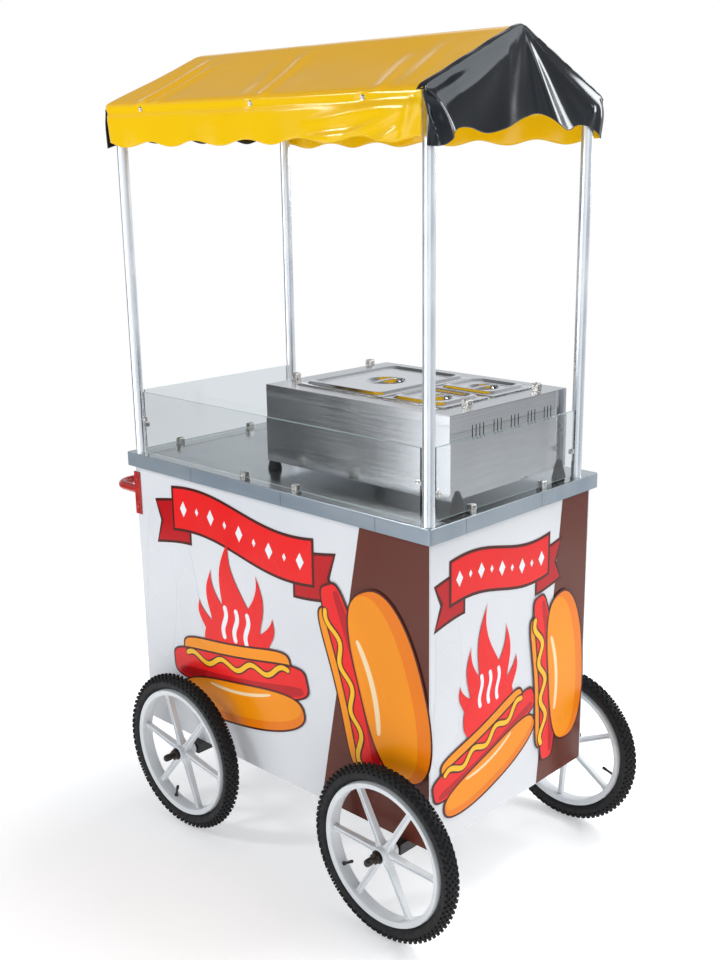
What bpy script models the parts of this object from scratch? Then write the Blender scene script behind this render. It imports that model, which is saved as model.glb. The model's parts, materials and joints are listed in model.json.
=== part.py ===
"""Push vending cart: panelled cabinet on four spoked wheels, steel counter with glass guards,
a three-pan food warmer, four posts and a pitched canopy.

Blender 4.5, metres, +Z up. The floor is z = 0, the customer side faces -Y and the push handle
is at the -X end. Positions below are measured from the middle of the counter; the empty named
cart moves everything so that the origin is midway between the handle and the wheels.
"""
import math

import bmesh
import bpy
from mathutils import Vector

GAP = 0.0003                    # clearance between pieces that touch

# Wheels and axles
WHEEL_R = 0.2015
AXLE_X = {"left": -0.279, "right": 0.409}
WHEEL_Y = 0.338                 # tyre's middle plane
TYRE_SECTION_R = 0.022
RIM_R = 0.163
RIM_BORE_R = 0.1485
RIM_HALF_WIDTH = 0.0165
RIM_LIP = 0.0035                # thickness of the rim's outer edges
RIM_SLANT = 0.004               # width over which the rim thickens inward
HUB_R = 0.019
HUB_BORE_R = 0.0063
HUB_INNER_Y = 0.312
HUB_OUTER_Y = 0.360
SPOKES = 6
SPOKE_START = {                 # first spoke's angle up from +X, degrees
    "front_left": -9.8,
    "front_right": -1.5,
    "rear_left": 20.0,
    "rear_right": 25.5,
}
AXLE_R = 0.008
STUB_R = 0.006
SHOULDER_R = 0.0105
WASHER_R = 0.0135
NUT_R = 0.0115
CAP_R = 0.0085
BLOCK_END_Y = 0.305
NUT_END_Y = 0.378
AXLE_END_Y = 0.398

# Cabinet
BODY_HALF_X = 0.486
BODY_HALF_Y = 0.282
BODY_BOTTOM = 0.211
SHEET = 0.003
FRAME_TOP = 0.9285
ANGLE_LEG = 0.025
ANGLE_WALL = 0.003
SHELF_Z = 0.560
DOORWAY_HALF_X = 0.430
DOORWAY_Z = (0.440, 0.860)
DOOR_MARGIN = 0.010
DOOR_MIDDLE_GAP = 0.0015
HINGE_X = 0.443
KNUCKLE_R = 0.0045
PIN_R = 0.0025

# Counter, glass guards and their clips
COUNTER_HALF_X = 0.500
COUNTER_HALF_Y = 0.296
COUNTER_TOP = 0.931
COUNTER_SHEET = 0.002
APRON = 0.034
GLASS = 0.005
GLASS_BOTTOM = COUNTER_TOP + 0.0065
GLASS_HEIGHT = 0.150
GLASS_FRONT_X = (-0.437, 0.463)
GLASS_END_Y = (-0.262, 0.208)
CLIPS_FRONT_X = (-0.067, 0.103)
CLIPS_LEFT_Y = (-0.159, 0.073)
CLIPS_RIGHT_Y = (-0.149, 0.096)

# Posts and canopy
POST_X = {"left": -0.457, "right": 0.483}
POST_Y = {"front": -0.281, "rear": 0.227}
POST_R = 0.0127
POST_BORE_R = 0.0112
POST_TOP = 1.733
BAR = 0.012
CLOTH = 0.003
RIDGE_Y = -0.029
RIDGE_Z = 1.877
EAVE_HALF_Y = 0.288
EAVE_Z = 1.751
ROOF_X = (-0.4742, 0.4962)
CHORD_INSET = (0.0112, 0.0082)  # from the cloth's ends to the end bars' middles
VALANCE_HEM = 1.662
GABLE_HEM = 1.681
SCALLOP = 0.007

# Push handle
HANDLE_Z = 0.8285
HANDLE_R = 0.0105
HANDLE_X = -0.588
HANDLE_LEG_Y = 0.272
HANDLE_BEND = 0.040

# Food warmer
WARMER_X = (-0.088, 0.459)
WARMER_Y = (-0.190, 0.215)
WARMER_PANEL_Y = 0.190
WARMER_Z = (0.957, 1.135)
STEEL = 0.0015
PANS = {                        # name: centre x, centre y, size x, size y
    "pan_large": (0.0975, 0.0125, 0.265, 0.325),
    "pan_small_front": (0.318, -0.06875, 0.176, 0.1625),
    "pan_small_rear": (0.318, 0.09375, 0.176, 0.1625),
}
WELL_CENTRE = (0.1855, 0.0125)
WELL_HALF_X = 0.2255
WELL_HALF_Y = 0.1675
WELL_BOTTOM = 0.980
PAN_DEPTH = 0.100
PAN_RIM = 0.001
VENT_PITCH = 0.0122
VENT_GROUP_PITCH = 0.0595
VENT_FIRST_Y = -0.1055
VENT_Z = (1.075, 1.105)
KNOB_X = 0.080
KNOB_Z = 1.060
GLAND_X = 0.400
GLAND_Z = 1.000
FOOT_X = (-0.090, 0.460)
FOOT_Y = (-0.167, 0.190)
FOOT_TOP = 0.975
ELEMENT_X = (0.120, 0.250)
ELEMENT_Z = 1.000

WHITE_PANEL = ("white_panel", (0.72, 0.74, 0.78), 0.35, 0.0)
STEEL_BRUSHED = ("brushed_steel", (0.55, 0.56, 0.58), 0.32, 1.0)
STEEL_FILMED = ("filmed_steel", (0.24, 0.31, 0.36), 0.45, 0.3)
ZINC_TUBE = ("zinc_tube", (0.60, 0.64, 0.68), 0.35, 0.9)
BLACK_STEEL = ("black_steel", (0.03, 0.03, 0.03), 0.50, 0.2)
RED_PAINT = ("red_paint", (0.48, 0.02, 0.01), 0.35, 0.0)
CHROME = ("chrome", (0.80, 0.80, 0.80), 0.12, 1.0)
CLEAR_GLASS = ("clear_glass", (0.85, 0.92, 0.90), 0.03, 0.0)
YELLOW_CLOTH = ("yellow_cloth", (0.87, 0.55, 0.01), 0.30, 0.0)
BLACK_CLOTH = ("black_cloth", (0.03, 0.03, 0.035), 0.30, 0.0)
TYRE_RUBBER = ("tyre_rubber", (0.02, 0.02, 0.022), 0.85, 0.0)
WHITE_RIM = ("white_rim", (0.68, 0.71, 0.73), 0.40, 0.0)
BLACK_RUBBER = ("black_rubber", (0.02, 0.02, 0.02), 0.80, 0.0)
BLACK_PLASTIC = ("black_plastic", (0.02, 0.02, 0.02), 0.45, 0.0)

CORNERS = [(sx, sy) for sx in (-1, 1) for sy in (-1, 1)]


# ---------------------------------------------------------------- making and joining shapes

def clear_scene():
    for old in list(bpy.data.objects):
        bpy.data.objects.remove(old, do_unlink=True)


def material(name, colour, roughness, metallic):
    """The Principled material of that name, made at its first use."""
    found = bpy.data.materials.get(name)
    if found:
        return found
    made = bpy.data.materials.new(name)
    made.use_nodes = True
    shader = made.node_tree.nodes["Principled BSDF"]
    shader.inputs["Base Color"].default_value = (*colour, 1.0)
    shader.inputs["Roughness"].default_value = roughness
    shader.inputs["Metallic"].default_value = metallic
    return made


def shape(bm):
    """A scene object that holds the bmesh."""
    bmesh.ops.recalc_face_normals(bm, faces=bm.faces)
    mesh = bpy.data.meshes.new("shape")
    bm.to_mesh(mesh)
    bm.free()
    made = bpy.data.objects.new("shape", mesh)
    bpy.context.scene.collection.objects.link(made)
    return made


def box(xs, ys, zs):
    """A block between two values on each axis."""
    return loft([[Vector((x, y, z)) for x, y in
                  ((xs[0], ys[0]), (xs[1], ys[0]), (xs[1], ys[1]), (xs[0], ys[1]))] for z in zs])


def loft(loops, closed=False):
    """Skin a list of loops of equal length; the end loops are filled, or joined when closed."""
    bm = bmesh.new()
    rows = [[bm.verts.new(point) for point in loop] for loop in loops]
    count = len(rows[0])
    pairs = list(zip(rows, rows[1:]))
    if closed:
        pairs.append((rows[-1], rows[0]))
    else:
        bm.faces.new(rows[0])
        bm.faces.new(rows[-1])
    for low, high in pairs:
        for i in range(count):
            j = (i + 1) % count
            bm.faces.new((low[i], low[j], high[j], high[i]))
    return shape(bm)


def rounded_rect(centre, half_x, half_y, radius, z, steps=3):
    """A flat loop at height z with round corners, counter-clockwise from the +X +Y corner."""
    points = []
    for corner in range(4):
        start = corner * math.pi / 2
        sx = 1 if corner in (0, 3) else -1
        sy = 1 if corner in (0, 1) else -1
        middle_x = centre[0] + sx * (half_x - radius)
        middle_y = centre[1] + sy * (half_y - radius)
        for step in range(steps + 1):
            turn = start + step * math.pi / 2 / steps
            points.append(Vector((middle_x + radius * math.cos(turn),
                                  middle_y + radius * math.sin(turn), z)))
    return points


def circle(centre, radius, z, count):
    """A flat loop at height z that pairs up with a rounded_rect of the same count."""
    start = math.pi / count
    turns = [start + i * math.tau / count for i in range(count)]
    return [Vector((centre[0] + radius * math.cos(turn),
                    centre[1] + radius * math.sin(turn), z)) for turn in turns]


def turned(profile, count, ring=False, offset=(0.0, 0.0, 0.0), axis="Z", start=0.0):
    """Turn (radius, height) points about an axis. A ring's profile is a closed loop."""
    loops = []
    origin = Vector(offset)
    for radius, height in profile:
        loop = []
        for i in range(count):
            turn = start + i * math.tau / count
            a = radius * math.cos(turn)
            b = radius * math.sin(turn)
            point = Vector((a, b, height)) if axis == "Z" else Vector((a, height, b))
            loop.append(origin + point)
        loops.append(loop)
    return loft(loops, closed=ring)


def pipe(points, radius, sides):
    """A round bar with filled ends along a list of points."""
    curve = bpy.data.curves.new("pipe", "CURVE")
    curve.dimensions = "3D"
    curve.bevel_depth = radius
    curve.bevel_resolution = sides // 2 - 2
    curve.use_fill_caps = True
    spline = curve.splines.new("POLY")
    spline.points.add(len(points) - 1)
    for slot, point in zip(spline.points, points):
        slot.co = (*point, 1.0)
    guide = bpy.data.objects.new("pipe", curve)
    bpy.context.scene.collection.objects.link(guide)
    mesh = evaluated_mesh(guide)
    bpy.data.objects.remove(guide)
    bm = bmesh.new()
    bm.from_mesh(mesh)
    bmesh.ops.remove_doubles(bm, verts=bm.verts, dist=0.00001)
    return shape(bm)


def arc(centre, radius, start, end, steps):
    """Points in a level plane from one angle to another, in degrees."""
    points = []
    for step in range(steps + 1):
        turn = math.radians(start + (end - start) * step / steps)
        points.append(Vector(centre) + Vector((math.cos(turn), math.sin(turn), 0)) * radius)
    return points


def evaluated_mesh(source):
    bpy.context.view_layer.update()
    depsgraph = bpy.context.evaluated_depsgraph_get()
    return bpy.data.meshes.new_from_object(source.evaluated_get(depsgraph))


def combine(base, tool, operation):
    """Apply a Boolean to base and use up the tool."""
    step = base.modifiers.new("step", "BOOLEAN")
    step.operation = operation
    step.object = tool
    result = evaluated_mesh(base)
    base.modifiers.clear()
    base.data = result
    bpy.data.objects.remove(tool)


def join(base, *tools):
    for tool in tools:
        combine(base, tool, "UNION")
    return base


def cut(base, *tools):
    for tool in tools:
        combine(base, tool, "DIFFERENCE")
    return base


def node(name, piece, look, origin=(0.0, 0.0, 0.0), round_piece=False, bevel=0.0):
    """Name a finished piece, give it its material and put its origin where it belongs."""
    piece.name = name
    piece.data.name = name
    origin = Vector(origin)
    for vertex in piece.data.vertices:
        vertex.co -= origin
    piece.location = origin
    piece.parent = bpy.data.objects["cart"]
    piece.data.materials.clear()
    piece.data.materials.append(material(*look))
    if bevel:
        edge = piece.modifiers.new("edges", "BEVEL")
        edge.width = bevel
        edge.segments = 1
        edge.limit_method = "ANGLE"
        edge.angle_limit = math.radians(50)
    if round_piece:
        piece.data.shade_smooth()
        piece.data.set_sharp_from_angle(angle=math.radians(35))
    return piece


# ---------------------------------------------------------------- cabinet

def make_chassis():
    """Angle-iron frame with shelf tabs, two cross bars and four bored axle blocks."""
    half_x = BODY_HALF_X - SHEET - GAP
    half_y = BODY_HALF_Y - SHEET - GAP
    low = BODY_BOTTOM + GAP
    inner_x = half_x - ANGLE_WALL
    inner_y = half_y - ANGLE_WALL
    open_x = half_x - ANGLE_LEG
    open_y = half_y - ANGLE_LEG
    open_z = (low + ANGLE_LEG, FRAME_TOP - ANGLE_LEG)
    frame = box((-half_x, half_x), (-half_y, half_y), (low, FRAME_TOP))
    cut(frame, box((-inner_x, inner_x), (-inner_y, inner_y),
                   (low + ANGLE_WALL, FRAME_TOP - ANGLE_WALL)))
    cut(frame, box((-1, 1), (-open_y, open_y), open_z))
    cut(frame, box((-open_x, open_x), (-1, 1), open_z))
    cut(frame, box((-open_x, open_x), (-open_y, open_y), (0, 2)))
    for sx, sy in CORNERS:
        tab_x = sorted((sx * (half_x - 0.001), sx * (half_x - 0.045)))
        tab_y = sorted((sy * (half_y - 0.001), sy * (half_y - 0.040)))
        join(frame, box(tab_x, tab_y, (SHELF_Z - 0.003 - GAP, SHELF_Z - GAP)))
    for x in AXLE_X.values():
        join(frame, box((x - 0.020, x + 0.020), (-0.275, 0.275), (low - 0.0015, low + 0.002)))
        for side in (-1, 1):
            block_y = sorted((side * 0.225, side * BLOCK_END_Y))
            join(frame, box((x - 0.016, x + 0.016), block_y, (0.186, BODY_BOTTOM - GAP)))
        bore = turned([(AXLE_R + GAP, -0.4), (AXLE_R + GAP, 0.4)], 16, axis="Y",
                      offset=(x, 0, WHEEL_R), start=math.pi / 16)
        cut(frame, bore)
    node("chassis_frame", frame, BLACK_STEEL)


def make_floor_and_shelf():
    half_x = BODY_HALF_X - SHEET - ANGLE_WALL - 2 * GAP
    half_y = BODY_HALF_Y - SHEET - ANGLE_WALL - 2 * GAP
    low = BODY_BOTTOM + ANGLE_WALL + 2 * GAP
    floor = box((-half_x, half_x), (-half_y, half_y), (low, low + SHEET))
    node("cabinet_floor", floor, STEEL_BRUSHED)
    shelf = box((-half_x, half_x), (-half_y, half_y), (SHELF_Z, SHELF_Z + 0.002))
    for side in (-1, 1):
        lip_y = sorted((side * half_y, side * (half_y - 0.002)))
        join(shelf, box((-0.430, 0.430), lip_y, (SHELF_Z - 0.015, SHELF_Z + 0.001)))
    node("storage_shelf", shelf, STEEL_BRUSHED)


def make_panels():
    zs = (BODY_BOTTOM, FRAME_TOP)
    front = box((-BODY_HALF_X, BODY_HALF_X), (-BODY_HALF_Y, SHEET - BODY_HALF_Y), zs)
    node("front_panel", front, WHITE_PANEL, bevel=0.0005)
    end_y = BODY_HALF_Y - SHEET - GAP
    left = box((-BODY_HALF_X, SHEET - BODY_HALF_X), (-end_y, end_y), zs)
    node("left_panel", left, WHITE_PANEL, bevel=0.0005)
    right = box((BODY_HALF_X - SHEET, BODY_HALF_X), (-end_y, end_y), zs)
    node("right_panel", right, WHITE_PANEL, bevel=0.0005)
    back = box((-BODY_HALF_X, BODY_HALF_X), (BODY_HALF_Y - SHEET, BODY_HALF_Y), zs)
    cut(back, box((-DOORWAY_HALF_X, DOORWAY_HALF_X), (0, 1), DOORWAY_Z))
    node("back_panel", back, WHITE_PANEL)


def make_door(side_name, side):
    """One overlapping door, its piano hinge and its pull. side is -1 for left, 1 for right."""
    face = BODY_HALF_Y + 2 * GAP
    zs = (DOORWAY_Z[0] - DOOR_MARGIN, DOORWAY_Z[1] + DOOR_MARGIN)
    pin_y = face + KNUCKLE_R
    axis = (side * HINGE_X, pin_y, 0)
    knuckle_z = (zs[0] + 0.040, zs[1] - 0.040)
    door_edge = HINGE_X - KNUCKLE_R - GAP
    door = box(sorted((side * door_edge, side * DOOR_MIDDLE_GAP)), (face, face + SHEET), zs)
    tab = box(sorted((side * (HINGE_X - 0.001), side * (door_edge - 0.004))),
              (face + 0.0002, face + SHEET - 0.0002), (knuckle_z[0] + 0.001, knuckle_z[1] - 0.001))
    knuckle = turned([(KNUCKLE_R, knuckle_z[0]), (KNUCKLE_R, knuckle_z[1])], 16, offset=axis)
    join(door, tab, knuckle)
    cut(door, turned([(PIN_R + GAP, 0), (PIN_R + GAP, 2)], 12, offset=axis))
    node(side_name + "_door", door, WHITE_PANEL, origin=(axis[0], axis[1], sum(zs) / 2))

    hinge = turned([(PIN_R, zs[0] + 0.006), (PIN_R, zs[1] - 0.006)], 12, offset=axis)
    for end in ((zs[0] + 0.005, knuckle_z[0] - 2 * GAP), (knuckle_z[1] + 2 * GAP, zs[1] - 0.005)):
        join(hinge, turned([(KNUCKLE_R, end[0]), (KNUCKLE_R, end[1])], 16, offset=axis))
        web = box(sorted((side * HINGE_X, side * (HINGE_X + 0.008))),
                  (BODY_HALF_Y + 0.0006, BODY_HALF_Y + 0.0018), (end[0] + 0.001, end[1] - 0.001))
        join(hinge, web)
    leaf_x = sorted((side * (HINGE_X + KNUCKLE_R + 0.0005), side * (HINGE_X + 0.022)))
    join(hinge, box(leaf_x, (BODY_HALF_Y + GAP, BODY_HALF_Y + 0.0018),
                    (zs[0] + 0.005, zs[1] - 0.005)))
    node(side_name + "_door_hinge", hinge, CHROME)

    pull_x = side * 0.040
    y = face + SHEET + GAP
    middle = sum(zs) / 2
    pull = box((pull_x - 0.006, pull_x + 0.006), (y + 0.020, y + 0.026),
               (middle - 0.055, middle + 0.055))
    for end in (-1, 1):
        stub_z = sorted((middle + end * 0.0545, middle + end * 0.046))
        join(pull, box((pull_x - 0.0055, pull_x + 0.0055), (y, y + 0.021), stub_z))
    node(side_name + "_door_pull", pull, CHROME, bevel=0.001)


# ---------------------------------------------------------------- counter and handle

def make_countertop():
    """A folded tray, open below."""
    top = COUNTER_TOP
    low = top - APRON
    skin = COUNTER_SHEET
    middle = (0, 0)
    tray = loft([
        rounded_rect(middle, COUNTER_HALF_X - skin, COUNTER_HALF_Y - skin, 0.004, top - skin),
        rounded_rect(middle, COUNTER_HALF_X - skin, COUNTER_HALF_Y - skin, 0.004, low),
        rounded_rect(middle, COUNTER_HALF_X, COUNTER_HALF_Y, 0.006, low),
        rounded_rect(middle, COUNTER_HALF_X, COUNTER_HALF_Y, 0.006, top - 0.0015),
        rounded_rect(middle, COUNTER_HALF_X - 0.001, COUNTER_HALF_Y - 0.001, 0.0055, top),
    ])
    node("countertop", tray, STEEL_FILMED)


def make_push_handle():
    """U-shaped tube with a corner bracket welded to each leg."""
    leg_end = -BODY_HALF_X - 0.0035
    route = []
    for side in (-1, 1):
        bend = (HANDLE_X + HANDLE_BEND, side * (HANDLE_LEG_Y - HANDLE_BEND), HANDLE_Z)
        if side < 0:
            route.append(Vector((leg_end, -HANDLE_LEG_Y, HANDLE_Z)))
            route += arc(bend, HANDLE_BEND, -90, -180, 5)
        else:
            route += arc(bend, HANDLE_BEND, 180, 90, 5)
            route.append(Vector((leg_end, HANDLE_LEG_Y, HANDLE_Z)))
    handle = pipe(route, HANDLE_R, 12)
    zs = (HANDLE_Z - 0.0575, HANDLE_Z + 0.0515)
    for side in (-1, 1):
        face_y = BODY_HALF_Y + GAP
        flange = box((-BODY_HALF_X - 0.0043, -BODY_HALF_X + 0.018),
                     sorted((side * face_y, side * (face_y + 0.004))), zs)
        end_plate = box((-BODY_HALF_X - 0.0042, -BODY_HALF_X - GAP),
                        sorted((side * (face_y + 0.0035), side * 0.258)),
                        (zs[0] + 0.0002, zs[1] - 0.0002))
        join(flange, end_plate)
        join(handle, flange)
    node("push_handle", handle, RED_PAINT, round_piece=True)


# ---------------------------------------------------------------- posts, canopy and glass

def make_posts():
    for depth, y in POST_Y.items():
        for side, x in POST_X.items():
            low = COUNTER_TOP + GAP
            tube = turned([(POST_R, low), (POST_R, POST_TOP), (POST_BORE_R, POST_TOP),
                           (POST_BORE_R, low)], 20, ring=True)
            placed = node(f"post_{depth}_{side}", tube, ZINC_TUBE, round_piece=True)
            placed.location = (x, y, 0)


def roof_height(y, drop):
    """Height of a plane parallel to the roof's outer face, drop below it."""
    slope = (RIDGE_Z - EAVE_Z) / EAVE_HALF_Y
    return RIDGE_Z - slope * abs(y - RIDGE_Y) - drop * math.hypot(1, slope)


def make_canopy_frame():
    """Welded square bars: two gable triangles, two eave rails, a ridge rail and four spigots."""
    bar = BAR / 2
    chord_z = POST_TOP + GAP + bar
    rail_y = EAVE_HALF_Y - CLOTH - 0.002 - bar
    chord_x = (ROOF_X[0] + CHORD_INSET[0], ROOF_X[1] - CHORD_INSET[1])
    centre_drop = CLOTH + bar + 0.0015
    ridge_z = roof_height(RIDGE_Y + bar, centre_drop) - 0.001
    frame = box(chord_x, (RIDGE_Y - bar, RIDGE_Y + bar), (ridge_z - bar, ridge_z + bar))
    for side in (-1, 1):
        y = RIDGE_Y + side * rail_y
        join(frame, box((chord_x[0] - 0.001, chord_x[1] + 0.001), (y - bar, y + bar),
                        (chord_z - bar, chord_z + bar)))
        for x in chord_x:
            join(frame, rafter(x, y, chord_z, ridge_z))
    for x in chord_x:
        join(frame, box((x - bar, x + bar), (RIDGE_Y - rail_y, RIDGE_Y + rail_y),
                        (chord_z - bar + 0.0001, chord_z + bar - 0.0001)))
    for y in POST_Y.values():
        for x in POST_X.values():
            spigot = turned([(POST_BORE_R - GAP, POST_TOP - 0.035),
                             (POST_BORE_R - GAP, chord_z)], 16, offset=(x, y, 0))
            join(frame, spigot)
    node("canopy_frame", frame, ZINC_TUBE)


def rafter(x, eave_y, eave_z, ridge_z):
    """A sloping square bar from the eave rail to the ridge rail."""
    bar = BAR / 2
    foot = Vector((x, eave_y, eave_z))
    head = Vector((x, RIDGE_Y, ridge_z))
    along = (head - foot).normalized()
    across = Vector((0, -along.z, along.y))
    loops = []
    for end in (foot, head):
        loops.append([end + Vector((sx * bar * 0.98, 0, 0)) + across * sy * bar * 0.98
                      for sx, sy in ((-1, -1), (1, -1), (1, 1), (-1, 1))])
    return loft(loops)


def scalloped(base, position, start, pitch):
    """Height of a hem whose lobes hang SCALLOP below and rise SCALLOP above base."""
    return base - SCALLOP * math.cos(math.tau * ((position - start) / pitch - 0.5))


def make_roof():
    """Two slopes and two valances in one sheet, with a scalloped lower edge."""
    columns = 42
    length = ROOF_X[1] - ROOF_X[0]
    loops = []
    for i in range(columns + 1):
        x = ROOF_X[0] + length * i / columns
        hem = scalloped(VALANCE_HEM, x, ROOF_X[0], length / 6)
        outer = []
        inner = []
        for side in (-1, 1):
            edge = RIDGE_Y + side * EAVE_HALF_Y
            lining = RIDGE_Y + side * (EAVE_HALF_Y - CLOTH)
            outer_side = [(edge, hem), (edge, roof_height(edge, 0))]
            inner_side = [(lining, hem), (lining, roof_height(lining, CLOTH))]
            outer += outer_side if side < 0 else [(RIDGE_Y, RIDGE_Z)] + outer_side[::-1]
            inner += inner_side if side < 0 else [(RIDGE_Y, roof_height(RIDGE_Y, CLOTH))] + inner_side[::-1]
        loops.append([Vector((x, y, z)) for y, z in outer + inner[::-1]])
    node("canopy_roof", loft(loops), YELLOW_CLOTH)


def make_gable(side_name, face_x):
    """The end wall of the canopy, a flat sheet with a scalloped lower edge."""
    low_y = RIDGE_Y - EAVE_HALF_Y
    high_y = RIDGE_Y + EAVE_HALF_Y
    steps = 24
    outline = [(high_y, EAVE_Z), (RIDGE_Y, RIDGE_Z), (low_y, EAVE_Z)]
    for i in range(steps + 1):
        y = low_y + (high_y - low_y) * i / steps
        outline.append((y, scalloped(GABLE_HEM, y, low_y, (high_y - low_y) / 4)))
    loops = [[Vector((x, y, z)) for y, z in outline] for x in (face_x, face_x + CLOTH)]
    node(side_name + "_gable", loft(loops), BLACK_CLOTH)


def make_glass():
    zs = (GLASS_BOTTOM, GLASS_BOTTOM + GLASS_HEIGHT)
    half = GLASS / 2
    y = POST_Y["front"]
    node("front_glass", box(GLASS_FRONT_X, (y - half, y + half), zs), CLEAR_GLASS, bevel=0.0004)
    for side, x in POST_X.items():
        pane = box((x - half, x + half), GLASS_END_Y, zs)
        node(side + "_glass", pane, CLEAR_GLASS, bevel=0.0004)


def make_clip(name, x, y, along, outward):
    """A slotted block that grips a pane's lower edge, with a screw head on its outer face.
    along is the pane's direction and outward its normal, both level unit vectors."""
    half_along = 0.008
    half_across = 0.0085
    slot = GLASS / 2 + GAP
    low = COUNTER_TOP + GAP
    centre = Vector((x, y, 0))

    def block(reach, across, zs):
        foot = [centre + along * a + outward * c for a, c in
                ((-reach, across[0]), (reach, across[0]), (reach, across[1]), (-reach, across[1]))]
        return loft([[point + Vector((0, 0, z)) for point in foot] for z in zs])

    body = block(half_along, (-half_across, half_across), (low, low + 0.018))
    cut(body, block(0.02, (-slot, slot), (GLASS_BOTTOM - GAP, low + 0.03)))
    head = []
    for reach in (half_across - 0.001, half_across + 0.0035):
        ring = []
        for i in range(12):
            turn = i * math.tau / 12
            side = along * math.cos(turn) + Vector((0, 0, math.sin(turn)))
            ring.append(centre + outward * reach + side * 0.0045 + Vector((0, 0, low + 0.011)))
        head.append(ring)
    join(body, loft(head))
    node(name, body, CHROME)


def make_clips():
    x_way = Vector((1, 0, 0))
    y_way = Vector((0, 1, 0))
    for mark, x in zip("ab", CLIPS_FRONT_X):
        make_clip("front_glass_clip_" + mark, x, POST_Y["front"], x_way, -y_way)
    for mark, y in zip("ab", CLIPS_LEFT_Y):
        make_clip("left_glass_clip_" + mark, POST_X["left"], y, y_way, -x_way)
    for mark, y in zip("ab", CLIPS_RIGHT_Y):
        make_clip("right_glass_clip_" + mark, POST_X["right"], y, y_way, x_way)


# ---------------------------------------------------------------- food warmer

def make_warmer_body():
    """Wrap-round casing, deck, rear housing and base plate of folded sheet."""
    low, top = WARMER_Z
    wall_top = top - STEEL - GAP
    casing = box(WARMER_X, (WARMER_Y[0], WARMER_PANEL_Y), (low, wall_top))
    inner_x = (WARMER_X[0] + STEEL, WARMER_X[1] - STEEL)
    cut(casing, box(inner_x, (WARMER_Y[0] + STEEL, 1), (0, 2)))
    for group in range(5):
        first = VENT_FIRST_Y + group * VENT_GROUP_PITCH
        slots = range(-1, 3) if group == 0 else range(3)
        for slot in slots:
            y = first + slot * VENT_PITCH
            cut(casing, box((-1, 1), (y - 0.0014, y + 0.0014), VENT_Z))
    node("warmer_casing", casing, STEEL_BRUSHED)

    deck = box(WARMER_X, WARMER_Y, (top - STEEL, top))
    for x, y, size_x, size_y in PANS.values():
        hole = [rounded_rect((x, y), size_x / 2 - 0.012, size_y / 2 - 0.012, 0.018, z)
                for z in (1, 2)]
        cut(deck, loft(hole))
    node("warmer_deck", deck, STEEL_BRUSHED)

    rear = box(WARMER_X, (WARMER_PANEL_Y + GAP, WARMER_Y[1]), (low, wall_top))
    cut(rear, box(inner_x, (0, WARMER_Y[1] - STEEL), (low + STEEL, wall_top - STEEL)))
    for x, radius, z in ((KNOB_X, 0.0045, KNOB_Z), (GLAND_X, 0.0084, GLAND_Z)):
        cut(rear, turned([(radius, 0.2), (radius, 0.3)], 16, axis="Y", offset=(x, 0, z)))
    node("warmer_rear_housing", rear, STEEL_BRUSHED)

    base = box((inner_x[0] + GAP, inner_x[1] - GAP),
               (WARMER_Y[0] + STEEL + GAP, WARMER_PANEL_Y), (low + GAP, low + GAP + STEEL))
    node("warmer_base_plate", base, STEEL_BRUSHED)


def make_water_well():
    """Open tank under the deck, with a narrow flange and two holes for the heating element."""
    top = WARMER_Z[1] - STEEL - GAP
    wall = 0.001
    flange = 0.008

    def level(outset, radius, z):
        return rounded_rect(WELL_CENTRE, WELL_HALF_X + outset, WELL_HALF_Y + outset, radius, z)

    well = loft([
        level(-wall, 0.019, WELL_BOTTOM + wall),
        level(-wall, 0.019, top),
        level(flange, 0.024, top),
        level(flange, 0.024, top - wall),
        level(0.0, 0.020, top - wall),
        level(0.0, 0.020, WELL_BOTTOM),
    ])
    for x in ELEMENT_X:
        cut(well, turned([(0.0045, 0.15), (0.0045, 0.20)], 12, axis="Y", offset=(x, 0, ELEMENT_Z)))
    node("water_well", well, STEEL_BRUSHED)

    bend_r = (ELEMENT_X[1] - ELEMENT_X[0]) / 2
    bend = (sum(ELEMENT_X) / 2, -0.040, ELEMENT_Z)
    route = [Vector((ELEMENT_X[0], 0.187, ELEMENT_Z))]
    route += arc(bend, bend_r, 180, 360, 12)
    route.append(Vector((ELEMENT_X[1], 0.187, ELEMENT_Z)))
    node("heating_element", pipe(route, 0.004, 8), BLACK_STEEL, round_piece=True)


def make_pan(name, x, y, size_x, size_y):
    """A tapered food pan that hangs by its rim on the deck."""
    rim = WARMER_Z[1] + GAP
    low = rim - PAN_DEPTH
    wall = 0.001
    half_x = size_x / 2 - 0.0005
    half_y = size_y / 2 - 0.0005
    centre = (0, 0)

    def level(inset, radius, z):
        return rounded_rect(centre, half_x - inset, half_y - inset, radius, z)

    pan = loft([
        level(0.024, 0.020, low + wall),
        level(0.0145, 0.014, rim + PAN_RIM),
        level(0.0, 0.010, rim + PAN_RIM),
        level(0.0, 0.010, rim),
        level(0.0135, 0.015, rim),
        level(0.023, 0.021, low),
    ])
    node(name, pan, STEEL_BRUSHED).location = (x, y, 0)


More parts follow.
